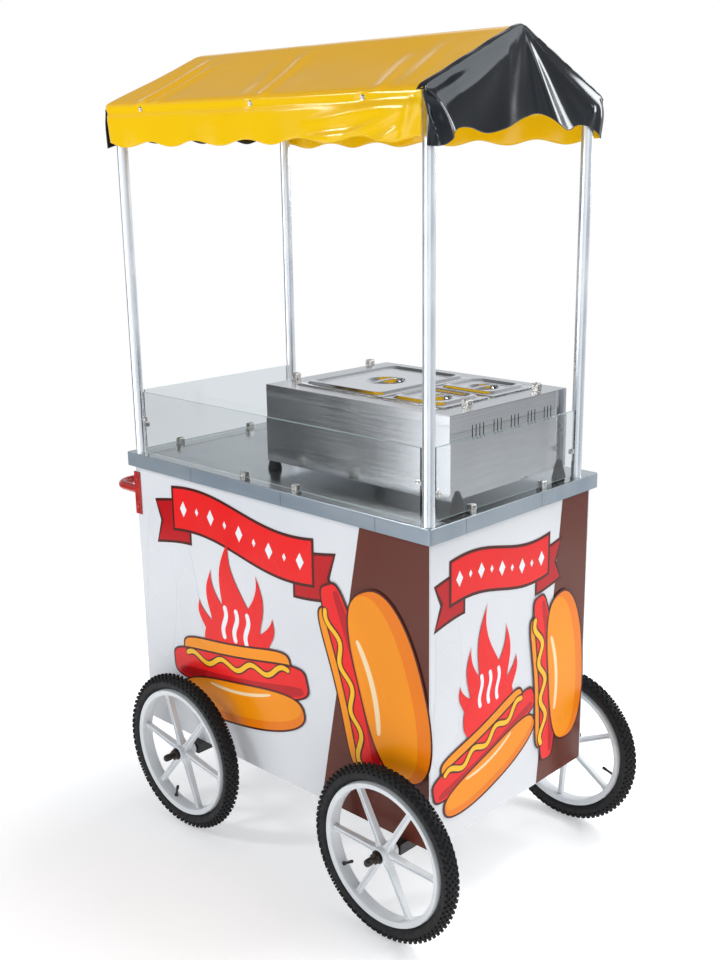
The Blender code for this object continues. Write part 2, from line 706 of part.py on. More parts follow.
def make_lid(name, x, y, size_x, size_y, dish_r):
    """A flat lid with a raised middle, a round dish and a strap handle across the dish."""
    seat = WARMER_Z[1] + PAN_RIM + 2 * GAP
    sheet = 0.001
    rise = 0.0045
    depth = 0.011
    centre = (0, 0)
    count = 24
    half_x = size_x / 2 - 0.0015
    half_y = size_y / 2 - 0.0015

    def level(inset, radius, z):
        return rounded_rect(centre, half_x - inset, half_y - inset, radius, z, steps=5)

    panel = seat + sheet + rise
    lid = loft([
        circle(centre, dish_r - 0.005, panel - depth, count),
        circle(centre, dish_r, panel, count),
        level(0.018, 0.012, panel),
        level(0.015, 0.014, seat + sheet),
        level(0.0, 0.009, seat + sheet),
        level(0.0, 0.009, seat),
        level(0.016, 0.013, seat),
        level(0.019, 0.011, panel - sheet),
        circle(centre, dish_r + 0.0012, panel - sheet, count),
        circle(centre, dish_r - 0.004, panel - depth - sheet, count),
    ])
    strap = box((-0.006, 0.006), (-dish_r - 0.004, dish_r + 0.004), (panel - 0.0005, panel + 0.0015))
    join(lid, strap)
    node(name, lid, CHROME).location = (x, y, 0)


def make_pans_and_lids():
    for name, (x, y, size_x, size_y) in PANS.items():
        make_pan(name, x, y, size_x, size_y)
        dish_r = 0.046 if name == "pan_large" else 0.036
        make_lid(name.replace("pan", "lid"), x, y, size_x, size_y, dish_r)


def make_warmer_fittings():
    """Thermostat knob, cable gland and four rubber cone feet hooked over the casing's ends."""
    face = WARMER_Y[1] + GAP
    profile = [(0.0040, -0.008), (0.0040, 0.0), (0.0190, 0.0), (0.0190, 0.004), (0.0165, 0.016),
               (0.0150, 0.0175)]
    knob = turned(profile, 24, axis="Y")
    join(knob, box((-0.0022, 0.0022), (0.014, 0.0205), (-0.013, 0.015)))
    placed = node("thermostat_knob", knob, BLACK_PLASTIC, round_piece=True)
    placed.location = (KNOB_X, face, KNOB_Z)

    gland = turned([(0.0040, -0.006), (0.0080, -0.006), (0.0080, 0.0), (0.0125, 0.0),
                    (0.0125, 0.005), (0.0095, 0.0055), (0.0085, 0.016), (0.0040, 0.016)],
                   16, ring=True, axis="Y")
    placed = node("cable_gland", gland, BLACK_PLASTIC, round_piece=True)
    placed.location = (GLAND_X, face, GLAND_Z)

    height = FOOT_TOP - COUNTER_TOP
    body = (WARMER_X[0] - GAP, WARMER_X[1] + GAP), (WARMER_Y[0] - GAP, WARMER_Y[1] + GAP)
    for depth, y in zip(("front", "rear"), FOOT_Y):
        for side, x in zip(("left", "right"), FOOT_X):
            foot = turned([(0.0155, 0.0), (0.0165, 0.002), (0.0105, 0.6 * height), (0.0040, height)], 16)
            inside = [tuple(edge - centre for edge in span) for span, centre in zip(body, (x, y))]
            cut(foot, box(*inside, (WARMER_Z[0] - COUNTER_TOP - 2 * GAP, 1)))
            placed = node(f"warmer_foot_{depth}_{side}", foot, BLACK_RUBBER, round_piece=True)
            placed.location = (x, y, COUNTER_TOP + GAP)


# ---------------------------------------------------------------- wheels

def make_axle(side_name, x):
    """Through axle with shoulders, stub ends, nuts and end caps in one turned piece."""
    half = [
        (AXLE_R, BLOCK_END_Y + GAP),
        (SHOULDER_R, BLOCK_END_Y + GAP),
        (SHOULDER_R - 0.002, HUB_INNER_Y - GAP),
        (STUB_R, HUB_INNER_Y - GAP),
        (STUB_R, HUB_OUTER_Y + GAP),
        (WASHER_R, HUB_OUTER_Y + GAP),
        (WASHER_R, HUB_OUTER_Y + 0.003),
        (NUT_R, HUB_OUTER_Y + 0.0035),
        (NUT_R, NUT_END_Y),
        (CAP_R, NUT_END_Y + 0.001),
        (CAP_R, AXLE_END_Y - 0.003),
        (CAP_R - 0.0025, AXLE_END_Y),
    ]
    profile = [(radius, -y) for radius, y in reversed(half)] + half
    axle = turned(profile, 12, axis="Y")
    node(side_name + "_axle", axle, BLACK_STEEL, round_piece=True).location = (x, 0, WHEEL_R)


def make_wheel(name, x, side):
    """Rim with hub and spokes, and the tyre on it. side is -1 on the front, 1 on the rear."""
    start = math.radians(SPOKE_START[name])
    half = RIM_HALF_WIDTH
    lip = RIM_R - RIM_LIP
    slant = half - RIM_SLANT
    section = [(RIM_R, -half), (RIM_R, half), (lip, half), (RIM_BORE_R, slant),
               (RIM_BORE_R, -slant), (lip, -half)]
    rim = turned(section, 40, ring=True, axis="Y")
    inner = HUB_INNER_Y - WHEEL_Y
    outer = HUB_OUTER_Y - WHEEL_Y
    span = sorted((side * inner, side * outer))
    hub = turned([(HUB_R, span[0]), (HUB_R, span[1])], 20, axis="Y")
    for i in range(SPOKES):
        join(hub, spoke(start + i * math.tau / SPOKES))
    join(rim, hub)
    cut(rim, turned([(HUB_BORE_R, -0.1), (HUB_BORE_R, 0.1)], 16, axis="Y"))
    place = (x, side * WHEEL_Y, WHEEL_R)
    node(name + "_rim", rim, WHITE_RIM, round_piece=True).location = place

    seat = RIM_R + GAP
    middle = WHEEL_R - TYRE_SECTION_R
    low_turn = math.acos((seat - middle) / TYRE_SECTION_R)
    steps = 8
    section = []
    for i in range(steps + 1):
        turn = -low_turn + 2 * low_turn * i / steps
        section.append((middle + TYRE_SECTION_R * math.cos(turn), TYRE_SECTION_R * math.sin(turn)))
    tyre = turned(section, 40, ring=True, axis="Y")
    node(name + "_tyre", tyre, TYRE_RUBBER, round_piece=True).location = place


def spoke(turn):
    """A tapered spoke from the hub to the rim at an angle up from +X."""
    out = Vector((math.cos(turn), 0, math.sin(turn)))
    across = Vector((-math.sin(turn), 0, math.cos(turn)))
    axial = Vector((0, 1, 0))
    loops = []
    root = (0.012, 0.0080, 0.0075)
    tip = (RIM_BORE_R + 0.003, 0.0060, 0.0060)
    for radius, half_width, half_depth in (root, tip):
        loops.append([out * radius + across * sa * half_width + axial * sb * half_depth
                      for sa, sb in ((-1, -1), (1, -1), (1, 1), (-1, 1))])
    return loft(loops)


def main():
    clear_scene()
    cart = bpy.data.objects.new("cart", None)
    bpy.context.scene.collection.objects.link(cart)
    wheel_end = AXLE_X["right"] + WHEEL_R
    handle_end = HANDLE_X - HANDLE_R
    cart.location = (-(wheel_end + handle_end) / 2, 0, 0)
    make_chassis()
    make_floor_and_shelf()
    make_panels()
    make_door("left", -1)
    make_door("right", 1)
    make_countertop()
    make_push_handle()
    make_posts()
    make_canopy_frame()
    make_roof()
    make_gable("left", ROOF_X[0] - GAP - CLOTH)
    make_gable("right", ROOF_X[1] + GAP)
    make_glass()
    make_clips()
    make_warmer_body()
    make_water_well()
    make_pans_and_lids()
    make_warmer_fittings()
    for side_name, x in AXLE_X.items():
        make_axle(side_name, x)
        make_wheel("front_" + side_name, x, -1)
        make_wheel("rear_" + side_name, x, 1)


main()
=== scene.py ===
"""Looks of the push vending cart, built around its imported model.

Places come from the boxes of the CAD nodes. Lengths are in metres and colours are linear.
"""

import json
import math

import bmesh
import bpy
from mathutils import Matrix, Vector, noise


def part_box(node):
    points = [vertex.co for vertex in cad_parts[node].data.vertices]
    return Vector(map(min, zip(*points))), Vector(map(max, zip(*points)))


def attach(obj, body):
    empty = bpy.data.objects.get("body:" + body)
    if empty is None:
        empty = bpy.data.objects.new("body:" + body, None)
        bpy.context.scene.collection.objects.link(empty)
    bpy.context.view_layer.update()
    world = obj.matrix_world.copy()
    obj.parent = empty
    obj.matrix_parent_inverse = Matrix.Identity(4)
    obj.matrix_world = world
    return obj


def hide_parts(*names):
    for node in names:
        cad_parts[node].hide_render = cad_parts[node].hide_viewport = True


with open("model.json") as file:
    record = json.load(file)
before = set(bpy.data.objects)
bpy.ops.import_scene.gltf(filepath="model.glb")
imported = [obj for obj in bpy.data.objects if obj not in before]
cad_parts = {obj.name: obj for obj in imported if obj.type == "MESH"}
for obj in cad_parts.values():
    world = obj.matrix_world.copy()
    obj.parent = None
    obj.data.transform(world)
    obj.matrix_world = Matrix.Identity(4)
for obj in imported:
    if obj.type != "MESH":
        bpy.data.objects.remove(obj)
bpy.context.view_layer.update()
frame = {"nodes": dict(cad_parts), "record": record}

X = Vector((1, 0, 0))
Y = Vector((0, 1, 0))
Z = Vector((0, 0, 1))


# ---------------------------------------------------------------- materials

def shader_of(made):
    return made.node_tree.nodes["Principled BSDF"]


def new_look(name, colour, roughness, **sockets):
    """A Principled material; a socket's name is given with underscores for spaces."""
    made = bpy.data.materials.new(name)
    made.use_nodes = True
    shader = shader_of(made)
    shader.inputs["Base Color"].default_value = (*colour, 1.0)
    shader.inputs["Roughness"].default_value = roughness
    for socket, value in sockets.items():
        shader.inputs[socket.replace("_", " ")].default_value = value
    return made


def add_node(made, kind, **inputs):
    node = made.node_tree.nodes.new(kind)
    for socket, value in inputs.items():
        node.inputs[socket.replace("_", " ")].default_value = value
    return node


def link(made, source, target):
    made.node_tree.links.new(source, target)


def pattern(made, scale, detail=2.0, stretch=(1, 1, 1), turn=(0, 0, 0), kind="ShaderNodeTexNoise"):
    """A texture from 0 to 1 in the piece's own coordinates, in cycles per metre."""
    place = add_node(made, "ShaderNodeTexCoord")
    mapping = add_node(made, "ShaderNodeMapping", Scale=stretch, Rotation=turn)
    link(made, place.outputs["Object"], mapping.inputs["Vector"])
    texture = add_node(made, kind, Scale=scale)
    if kind == "ShaderNodeTexNoise":
        texture.inputs["Detail"].default_value = detail
    link(made, mapping.outputs["Vector"], texture.inputs["Vector"])
    return texture.outputs[0]


def facing_up(made):
    """How far the surface faces up, from -1 to 1."""
    normal = add_node(made, "ShaderNodeNewGeometry")
    split = add_node(made, "ShaderNodeSeparateXYZ")
    link(made, normal.outputs["Normal"], split.inputs[0])
    return split.outputs["Z"]


def remap(made, source, low, high, start=0.35, end=0.65):
    node = add_node(made, "ShaderNodeMapRange", From_Min=start, From_Max=end, To_Min=low, To_Max=high)
    link(made, source, node.inputs["Value"])
    return node.outputs["Result"]


def weighted(made, source, factor, base):
    """The source times a factor, plus the base."""
    node = add_node(made, "ShaderNodeMath")
    node.operation = "MULTIPLY_ADD"
    node.inputs[1].default_value = factor
    link(made, source, node.inputs[0])
    link(made, base, node.inputs[2])
    return node.outputs[0]


def colour_by(made, source, dark, light, start=0.35, end=0.65):
    """Base colour that runs from dark to light with the source."""
    ramp = add_node(made, "ShaderNodeValToRGB")
    for stop, place, colour in zip(ramp.color_ramp.elements, (start, end), (dark, light)):
        stop.position = place
        stop.color = (*colour, 1.0)
    link(made, source, ramp.inputs["Fac"])
    link(made, ramp.outputs["Color"], shader_of(made).inputs["Base Color"])


def rough_by(made, source, low, high):
    link(made, remap(made, source, low, high), shader_of(made).inputs["Roughness"])


def bump_by(made, source, height):
    """Raise the surface by up to height with the source, on top of any earlier bump."""
    bump = add_node(made, "ShaderNodeBump", Distance=height, Strength=1.0)
    link(made, source, bump.inputs["Height"])
    target = shader_of(made).inputs["Normal"]
    if target.is_linked:
        link(made, target.links[0].from_socket, bump.inputs["Normal"])
    link(made, bump.outputs["Normal"], target)


def scaled(colour, factor):
    return tuple(min(1.0, c * factor) for c in colour)


def surface(name, tones, rough, tone_marks, rough_marks, bump_marks, height, span=(0.35, 0.65), **sockets):
    """Colour and roughness that drift between two values each, and a bump of some height.

    Each of the marks is a texture's scale, then its detail and stretch where they matter.
    """
    made = new_look(name, tones[0], rough[0], **sockets)
    colour_by(made, pattern(made, *tone_marks), *tones, *span)
    rough_by(made, pattern(made, *rough_marks), *rough)
    bump_by(made, pattern(made, *bump_marks), height)
    return made


def print_look(name, colour, spread=0.04):
    """Printed film: an even colour with slight banding, glossy and a little wavy."""
    tones = (scaled(colour, 1 - spread), scaled(colour, 1 + spread))
    return surface(name, tones, (0.18, 0.30), (4.0, 1.0), (6.0,), (3.0,), 0.0006, Specular_IOR_Level=0.22)


def paint_look(name, colour, rough, peel=0.00006, **sockets):
    """Sprayed paint with orange peel and slight fading."""
    tones = (scaled(colour, 0.82), scaled(colour, 1.15))
    return surface(name, tones, rough, (35.0, 5.0), (60.0, 3.0), (420.0,), peel, **sockets)


def rubber_look(name, colour, rough, dust=(0.05, 0.048, 0.045)):
    """Black rubber with a little grey dust."""
    return surface(name, (colour, dust), rough, (60.0, 6.0), (90.0, 3.0), (1100.0,), 0.00008, (0.45, 0.85),
                   Specular_IOR_Level=0.35)


def brushed_look(name, stretch, colour=(0.56, 0.56, 0.57), rough=(0.10, 0.18), depth=0.0000008):
    """Brushed stainless steel: fine streaks, soft smears and a few handling marks."""
    made = new_look(name, colour, rough[0], Metallic=1.0)
    streaks = pattern(made, 1.0, 3.0, stretch)
    smears = remap(made, pattern(made, 7.0, 3.0), 0.0, 0.4, 0.0, 1.0)
    mixed = weighted(made, streaks, 0.6, smears)
    colour_by(made, mixed, scaled(colour, 0.92), scaled(colour, 1.08))
    rough_by(made, mixed, *rough)
    bump_by(made, streaks, depth)
    bump_by(made, pattern(made, 3.5), 0.00012)
    return made


def filmed_look():
    """Counter sheet: bare bright steel on top, blue-grey protective film on the apron."""
    made = new_look("filmed_counter", (0.30, 0.35, 0.39), 0.25, Metallic=0.6, Coat_Weight=0.2,
                    Coat_Roughness=0.1)
    up = facing_up(made)
    link(made, remap(made, up, 0.15, 0.85, 0.3, 0.9), shader_of(made).inputs["Metallic"])
    marks = remap(made, pattern(made, 6.0, 5.0, (0.5, 1.6, 1.0)), 0.05, 0.35, 0.3, 0.7)
    colour_by(made, weighted(made, up, 0.45, marks), (0.235, 0.285, 0.335), (0.46, 0.49, 0.51), 0.1, 0.8)
    rough_by(made, pattern(made, 1.0, 3.0, (4, 160, 160)), 0.15, 0.23)
    bump_by(made, pattern(made, 2.6), 0.0006)
    return made


def glass_look():
    """Clear float glass whose cut edges are green and whose top edges glow faintly, a painted highlight; its
    broad faces are the upright ones.
    """
    made = new_look("clear_glass", (1, 1, 1), 0.0, Transmission_Weight=1.0, IOR=1.45,
                    Emission_Color=(0.70, 0.92, 0.86, 1.0))
    up = facing_up(made)
    colour_by(made, up, (0.965, 0.975, 0.975), (0.22, 0.42, 0.38), 0.3, 0.7)
    # Painted highlight: the top cut edges emit a faint green glow.
    link(made, remap(made, up, 0.0, 0.30, 0.3, 0.7), shader_of(made).inputs["Emission Strength"])
    rough_by(made, pattern(made, 20.0, 4.0), 0.0, 0.02)
    bump_by(made, pattern(made, 4.0), 0.00005)
    return made


def vinyl_look(name, colour, tones, rough, shine, painted_glow, tint=(1, 1, 1)):
    """PVC-coated cloth: glossy, faint scrim of the base cloth. Its glow is a painted glow, emission standing
    in for daylight coming through the cloth, and faces turned up are painted darker than upright ones, a
    painted shade.
    """
    made = new_look(name, colour, rough[0], Specular_IOR_Level=shine, Specular_Tint=(*tint, 1.0),
                    Emission_Color=(*colour, 1.0), Emission_Strength=painted_glow)
    # Painted shade: faces turned up take the first, darker tone and upright faces the second, lighter one.
    shade = weighted(made, facing_up(made), -0.75, pattern(made, 5.0, 4.0))
    colour_by(made, shade, *tones, 0.0, 0.45)
    rough_by(made, pattern(made, 11.0, 4.0), *rough)
    for turn in ((0, 0, 0), (math.radians(45), 0, math.radians(90))):
        scrim = pattern(made, 160.0, turn=turn, kind="ShaderNodeTexWave")
        bump_by(made, scrim, 0.000004)
    bump_by(made, pattern(made, 18.0, 3.0), 0.0003)
    return made


LOOKS = {
    "white_panel": surface("white_laminate", ((0.700, 0.715, 0.740), (0.745, 0.755, 0.775)), (0.20, 0.26),
                           (3.0,), (3.5, 1.0), (3.0,), 0.0006, Specular_IOR_Level=0.35),
    "brushed_steel": brushed_look("brushed_sides", (5, 5, 700)),
    "filmed_steel": filmed_look(),
    "zinc_tube": surface("zinc_tube", ((0.76, 0.79, 0.83), (0.90, 0.93, 0.96)), (0.26, 0.40),
                         (25.0, 5.0, (1, 1, 0.3)), (25.0, 5.0, (1, 1, 0.3)),
                         (1.0, 3.0, (400, 400, 5)), 0.000006, Metallic=0.95),
    "black_steel": paint_look("black_paint", (0.018, 0.017, 0.017), (0.38, 0.58)),
    "red_paint": paint_look("red_paint", (0.46, 0.013, 0.008), (0.22, 0.36), Coat_Weight=0.4),
    "chrome": surface("polished_chrome", ((0.76, 0.76, 0.77), (0.88, 0.88, 0.89)), (0.05, 0.14),
                      (45.0, 4.0), (45.0, 4.0), (12.0,), 0.0002, Metallic=1.0),
    "clear_glass": glass_look(),
    # Yellow cloth: its first tone is painted shade for faces turned up, and 0.12 is a painted glow standing
    # in for daylight through the cloth.
    "yellow_cloth": vinyl_look("yellow_vinyl", (0.86, 0.52, 0.004),
                               ((0.82, 0.42, 0.002), (0.84, 0.51, 0.003)), (0.10, 0.18), 0.34, 0.12),
    # Black cloth: its first tone is painted shade for faces turned up; it has no painted glow.
    "black_cloth": vinyl_look("black_vinyl", (0.010, 0.010, 0.012),
                              ((0.008, 0.008, 0.010), (0.013, 0.013, 0.015)), (0.08, 0.15), 0.45, 0.0,
                              (0.78, 0.90, 1.0)),
    "tyre_rubber": rubber_look("tyre_rubber", (0.009, 0.009, 0.010), (0.55, 0.75), (0.016, 0.016, 0.016)),
    "white_rim": surface("white_nylon", ((0.67, 0.695, 0.715), (0.74, 0.76, 0.775)), (0.36, 0.52),
                         (16.0, 5.0), (16.0, 5.0), (380.0,), 0.00004, Subsurface_Weight=0.05,
                         Subsurface_Radius=(0.004, 0.004, 0.004)),
    "black_rubber": rubber_look("foot_rubber", (0.02, 0.02, 0.02), (0.5, 0.7)),
    "black_plastic": rubber_look("black_plastic", (0.016, 0.016, 0.017), (0.32, 0.46)),
}
DECK_STEEL = brushed_look("brushed_deck", (5, 700, 5), rough=(0.14, 0.26))
LID_STEEL = brushed_look("polished_lids", (4, 500, 4), (0.68, 0.68, 0.69), (0.10, 0.16), 0.0000004)
CLIP_METAL = surface("satin_nickel", ((0.50, 0.49, 0.47), (0.72, 0.71, 0.69)), (0.24, 0.40),
                     (120.0, 4.0), (120.0, 4.0), (260.0,), 0.00003, Metallic=1.0)
DARK_STEEL = paint_look("oiled_steel", (0.050, 0.042, 0.036), (0.30, 0.50), 0.00002, Metallic=0.8)
PRINTS = {
    "brown": print_look("print_brown", (0.125, 0.030, 0.018)),
    "outline": print_look("print_dark_brown", (0.075, 0.012, 0.008)),
    "red": print_look("print_red", (0.84, 0.014, 0.014)),
    "deep_red": print_look("print_deep_red", (0.50, 0.006, 0.010)),
    "orange": print_look("print_orange", (0.92, 0.29, 0.004)),
    "deep_orange": print_look("print_deep_orange", (0.84, 0.20, 0.003)),
    "mustard": print_look("print_mustard", (0.94, 0.50, 0.016)),
    "cream": print_look("print_cream", (0.93, 0.70, 0.42)),
    "white": print_look("print_white", (0.84, 0.86, 0.88), 0.02),
    "ghost": print_look("print_pale_grey", (0.665, 0.685, 0.715), 0.02),
    "ground": print_look("print_ground", (0.722, 0.735, 0.758), 0.02),
}


# ---------------------------------------------------------------- mesh helpers

def object_from(name, bm, smooth_angle):
    """An object from a bmesh, shaded smooth up to an angle in degrees."""
    bmesh.ops.recalc_face_normals(bm, faces=bm.faces)
    mesh = bpy.data.meshes.new(name)
    bm.to_mesh(mesh)
    bm.free()
    mesh.shade_smooth()
    mesh.set_sharp_from_angle(angle=math.radians(smooth_angle))
    made = bpy.data.objects.new(name, mesh)
    bpy.context.scene.collection.objects.link(made)
    return made


def skin(bm, rows, wrap=False, caps=False, ring=False):
    """Quads between rows of points. wrap closes each row, ring joins the last row to the first."""
    made = [[bm.verts.new(point) for point in row] for row in rows]
    pairs = list(zip(made, made[1:]))
    if ring:
        pairs.append((made[-1], made[0]))
    count = len(made[0])
    for low, high in pairs:
        for i in range(count if wrap else count - 1):
            j = (i + 1) % count
            bm.faces.new((low[i], low[j], high[j], high[i]))
    if caps:
        bm.faces.new(made[0])
        bm.faces.new(made[-1])


def turned(bm, profile, count, centre, axis=Y, ring=False):
    """Turn (radius, height) points about an axis through centre."""
    side = axis.orthogonal().normalized()
    across = axis.cross(side)
    rows = []
    for radius, height in profile:
        row = []
        for i in range(count):
            turn = i * math.tau / count
            row.append(centre + axis * height + (side * math.cos(turn) + across * math.sin(turn)) * radius)
        rows.append(row)
    skin(bm, rows, wrap=True, caps=not ring, ring=ring)


def block(bm, centre, size, axes=(X, Y, Z), taper=1.0):
    """A block, narrower at its far end by taper."""
    a, b, c = (axis * extent / 2 for axis, extent in zip(axes, size))
    rows = []
    for up, scale in ((-1, 1.0), (1, taper)):
        rows.append([centre + c * up + (a * sa + b * sb) * scale
                     for sa, sb in ((-1, -1), (1, -1), (1, 1), (-1, 1))])
    skin(bm, rows, wrap=True, caps=True)


def smooth_line(points, steps):
    """A Catmull-Rom curve through tuples of numbers."""
    line = []
    for i in range(len(points) - 1):
        picked = [points[max(0, min(len(points) - 1, j))] for j in (i - 1, i, i + 1, i + 2)]
        for step in range(steps):
            t = step / steps
            line.append(tuple(0.5 * (2 * b + (c - a) * t + (2 * a - 5 * b + 4 * c - d) * t * t
                                     + (3 * b - a - 3 * c + d) * t ** 3)
                              for a, b, c, d in zip(*picked)))
    line.append(tuple(points[-1]))
    return line


def tube(bm, path, radius, sides):
    """A round bar along a list of points."""
    rows = []
    across = (path[1] - path[0]).normalized().orthogonal()
    for i, point in enumerate(path):
        along = (path[min(i + 1, len(path) - 1)] - path[max(i - 1, 0)]).normalized()
        across = (across - along * across.dot(along)).normalized()
        other = along.cross(across)
        rows.append([point + (across * math.cos(turn) + other * math.sin(turn)) * radius
                     for turn in (k * math.tau / sides for k in range(sides))])
    skin(bm, rows, wrap=True, caps=True)


def bevel(piece, width):
    edge = piece.modifiers.new("edges", "BEVEL")
    edge.width = width
    edge.segments = 2
    edge.limit_method = "ANGLE"
    edge.angle_limit = math.radians(40)
    edge.harden_normals = True


def add_piece(bm, name, smooth_angle, body, slot, look=None, edges=0.0, replaces=None):
    """Make a piece of a body, in its record slot's material unless another look is given.

    edges is a bevel's width, replaces the CAD node that the piece stands for.
    """
    piece = object_from(name, bm, smooth_angle)
    if edges:
        bevel(piece, edges)
    piece.data.materials.append(look or LOOKS[slot])
    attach(piece, body)
    if replaces:
        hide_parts(replaces)
    return piece


def middle(node):
    low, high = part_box(node)
    return (low + high) / 2


def bell(distance, width):
    return math.exp(-(distance / width) ** 2)


def line_fold(p, q, start, end, width):
    """How close a point lies to a fold line, 1 on it and fading away, softer at its ends."""
    along = (end[0] - start[0], end[1] - start[1])
    length = math.hypot(*along)
    share = ((p - start[0]) * along[0] + (q - start[1]) * along[1]) / length ** 2
    side = ((p - start[0]) * along[1] - (q - start[1]) * along[0]) / length
    fade = max(0.0, 1.0 - abs(2 * min(max(share, -0.5), 1.5) - 1) ** 3 / 2.2)
    if share < -0.15 or share > 1.15:
        fade = 0.0
    return bell(side, width * (0.6 + 0.4 * min(max(share, 0.0), 1.0))) * fade


# ---------------------------------------------------------------- camera, light and floor

def make_camera():
    data = bpy.data.cameras.new("camera")
    data.sensor_width = 36.0
    data.lens = 44.80
    data.shift_x = -0.0397
    data.shift_y = 0.0097
    camera = bpy.data.objects.new("camera", data)
    camera.location = (1.947, -1.979, 1.625)
    aim = Matrix.Rotation(math.radians(42.41), 3, "Z") @ Matrix.Rotation(math.radians(90 - 15.37), 3, "X")
    roll = Matrix.Rotation(math.radians(-0.33), 3, "Z")
    camera.rotation_euler = (aim @ roll).to_euler()
    bpy.context.scene.collection.objects.link(camera)
    bpy.context.scene.camera = camera


def area_light(name, place, target, size, power):
    data = bpy.data.lights.new(name, "AREA")
    data.shape = "RECTANGLE"
    data.size, data.size_y = size
    data.energy = power
    lamp = bpy.data.objects.new(name, data)
    lamp.location = place
    lamp.rotation_euler = (Vector(target) - Vector(place)).to_track_quat("-Z", "Y").to_euler()
    bpy.context.scene.collection.objects.link(lamp)


def heading(azimuth, elevation):
    """Unit vector toward a compass-like angle from +X and an angle above the horizon, in degrees."""
    turn = math.radians(azimuth)
    rise = math.radians(elevation)
    return (math.cos(turn) * math.cos(rise), math.sin(turn) * math.cos(rise), math.sin(rise))


# Azimuth, elevation, factor inside, and the cosines from the middle between which it fades in
ROOM_PATCHES = [
    (204, -8, 0.20, 0.905, 0.935),      # dark corner the warmer's front mirrors
    (252, -14, 4.80, 0.908, 0.936),     # window beside it
    (152, 32, 0.30, 0.951, 0.976),      # dark upper wall the roof cloth mirrors
    (50, 10, 0.50, 0.895, 0.960),       # dark patch the canopy's end wall mirrors
    (315, 5, 2.30, 0.80, 0.97),         # bright wall beside the camera, for the posts
    (0, 90, 0.40, 0.35, 0.85),          # dimmer ceiling
]


def make_light():
    """White seen behind the object; reflections see a room of light and dark patches."""
    world = bpy.data.worlds.new("studio")
    bpy.context.scene.world = world
    world.use_nodes = True
    way = add_node(world, "ShaderNodeTexCoord")

    def toward(azimuth, elevation, low, high, start, end):
        """Strength that runs from low to high as a ray turns toward a heading."""
        dot = add_node(world, "ShaderNodeVectorMath")
        dot.operation = "DOT_PRODUCT"
        dot.inputs[1].default_value = heading(azimuth, elevation)
        link(world, way.outputs["Generated"], dot.inputs[0])
        span = remap(world, dot.outputs["Value"], low, high, start, end)
        span.node.interpolation_type = "SMOOTHSTEP"
        return span

    strength = toward(95, 5, 0.50, 0.84, -0.3, 0.9)
    for patch in ROOM_PATCHES:
        product = add_node(world, "ShaderNodeMath")
        product.operation = "MULTIPLY"
        link(world, strength, product.inputs[0])
        azimuth, elevation, inside, start, end = patch
        link(world, toward(azimuth, elevation, 1.0, inside, start, end), product.inputs[1])
        strength = product.outputs[0]
    room = world.node_tree.nodes["Background"]
    room.inputs["Color"].default_value = (0.92, 0.96, 1.0, 1.0)
    link(world, strength, room.inputs["Strength"])
    white = add_node(world, "ShaderNodeBackground", Color=(1, 1, 1, 1))
    seen = add_node(world, "ShaderNodeLightPath")
    mix = add_node(world, "ShaderNodeMixShader")
    link(world, seen.outputs["Is Camera Ray"], mix.inputs["Fac"])
    link(world, room.outputs[0], mix.inputs[1])
    link(world, white.outputs[0], mix.inputs[2])
    link(world, mix.outputs[0], world.node_tree.nodes["World Output"].inputs["Surface"])
    area_light("key", (-2.1, -2.85, 2.85), (0, 0, 1.1), (0.6, 0.6), 36)
    area_light("right", (3.0, 1.6, 3.1), (0.4, 0, 1.1), (2.8, 2.0), 50)
    area_light("behind", (1.3, 3.4, 2.45), (0.2, 0, 1.4), (0.8, 1.6), 28)
    data = bpy.data.lights.new("top", "SUN")
    data.energy = 1.25
    data.angle = math.radians(24)
    sky = bpy.data.objects.new("top", data)
    sky.visible_glossy = False
    sky.rotation_euler = (-Vector(heading(70, 66))).to_track_quat("-Z", "Y").to_euler()
    bpy.context.scene.collection.objects.link(sky)
    bpy.context.scene.view_settings.view_transform = "Standard"


def make_floor():
    bm = bmesh.new()
    skin(bm, [[Vector((x, y, 0)) for x in (-2.3, 2.1)] for y in (-1.7, 2.3)])
    floor = object_from("floor", bm, 35)
    look = new_look("floor_paper", (0.93, 0.93, 0.94), 0.8, Emission_Color=(1, 1, 1, 1),
                    Emission_Strength=0.38)
    colour_by(look, pattern(look, 0.8, 4.0), (0.92, 0.92, 0.93), (0.94, 0.94, 0.95))
    bump_by(look, pattern(look, 240.0), 0.0001)
    floor.data.materials.append(look)


# ---------------------------------------------------------------- wheels

TYRE_SECTION = 0.0218                               # half the tyre's width, knobs included
TREAD_COLUMNS = 152
TREAD_ROWS = ((-67, -22, 22, 67), (-45, 0, 45))     # degrees round the casing, by column
KNOB_HEIGHT = 0.0050
KNOB_WIDTH = 0.0047
CROWN_KNOB = 0.0064                                 # lengths of the knobs round the tyre
SHOULDER_KNOB = 0.0074
SPOKES = 6
THREADS = 5
THREAD_PITCH = 0.0016


def wheel_ways(turn):
    """Directions out from an axle and around it, at an angle up from +X."""
    return X * math.cos(turn) + Z * math.sin(turn), Z * math.cos(turn) - X * math.sin(turn)


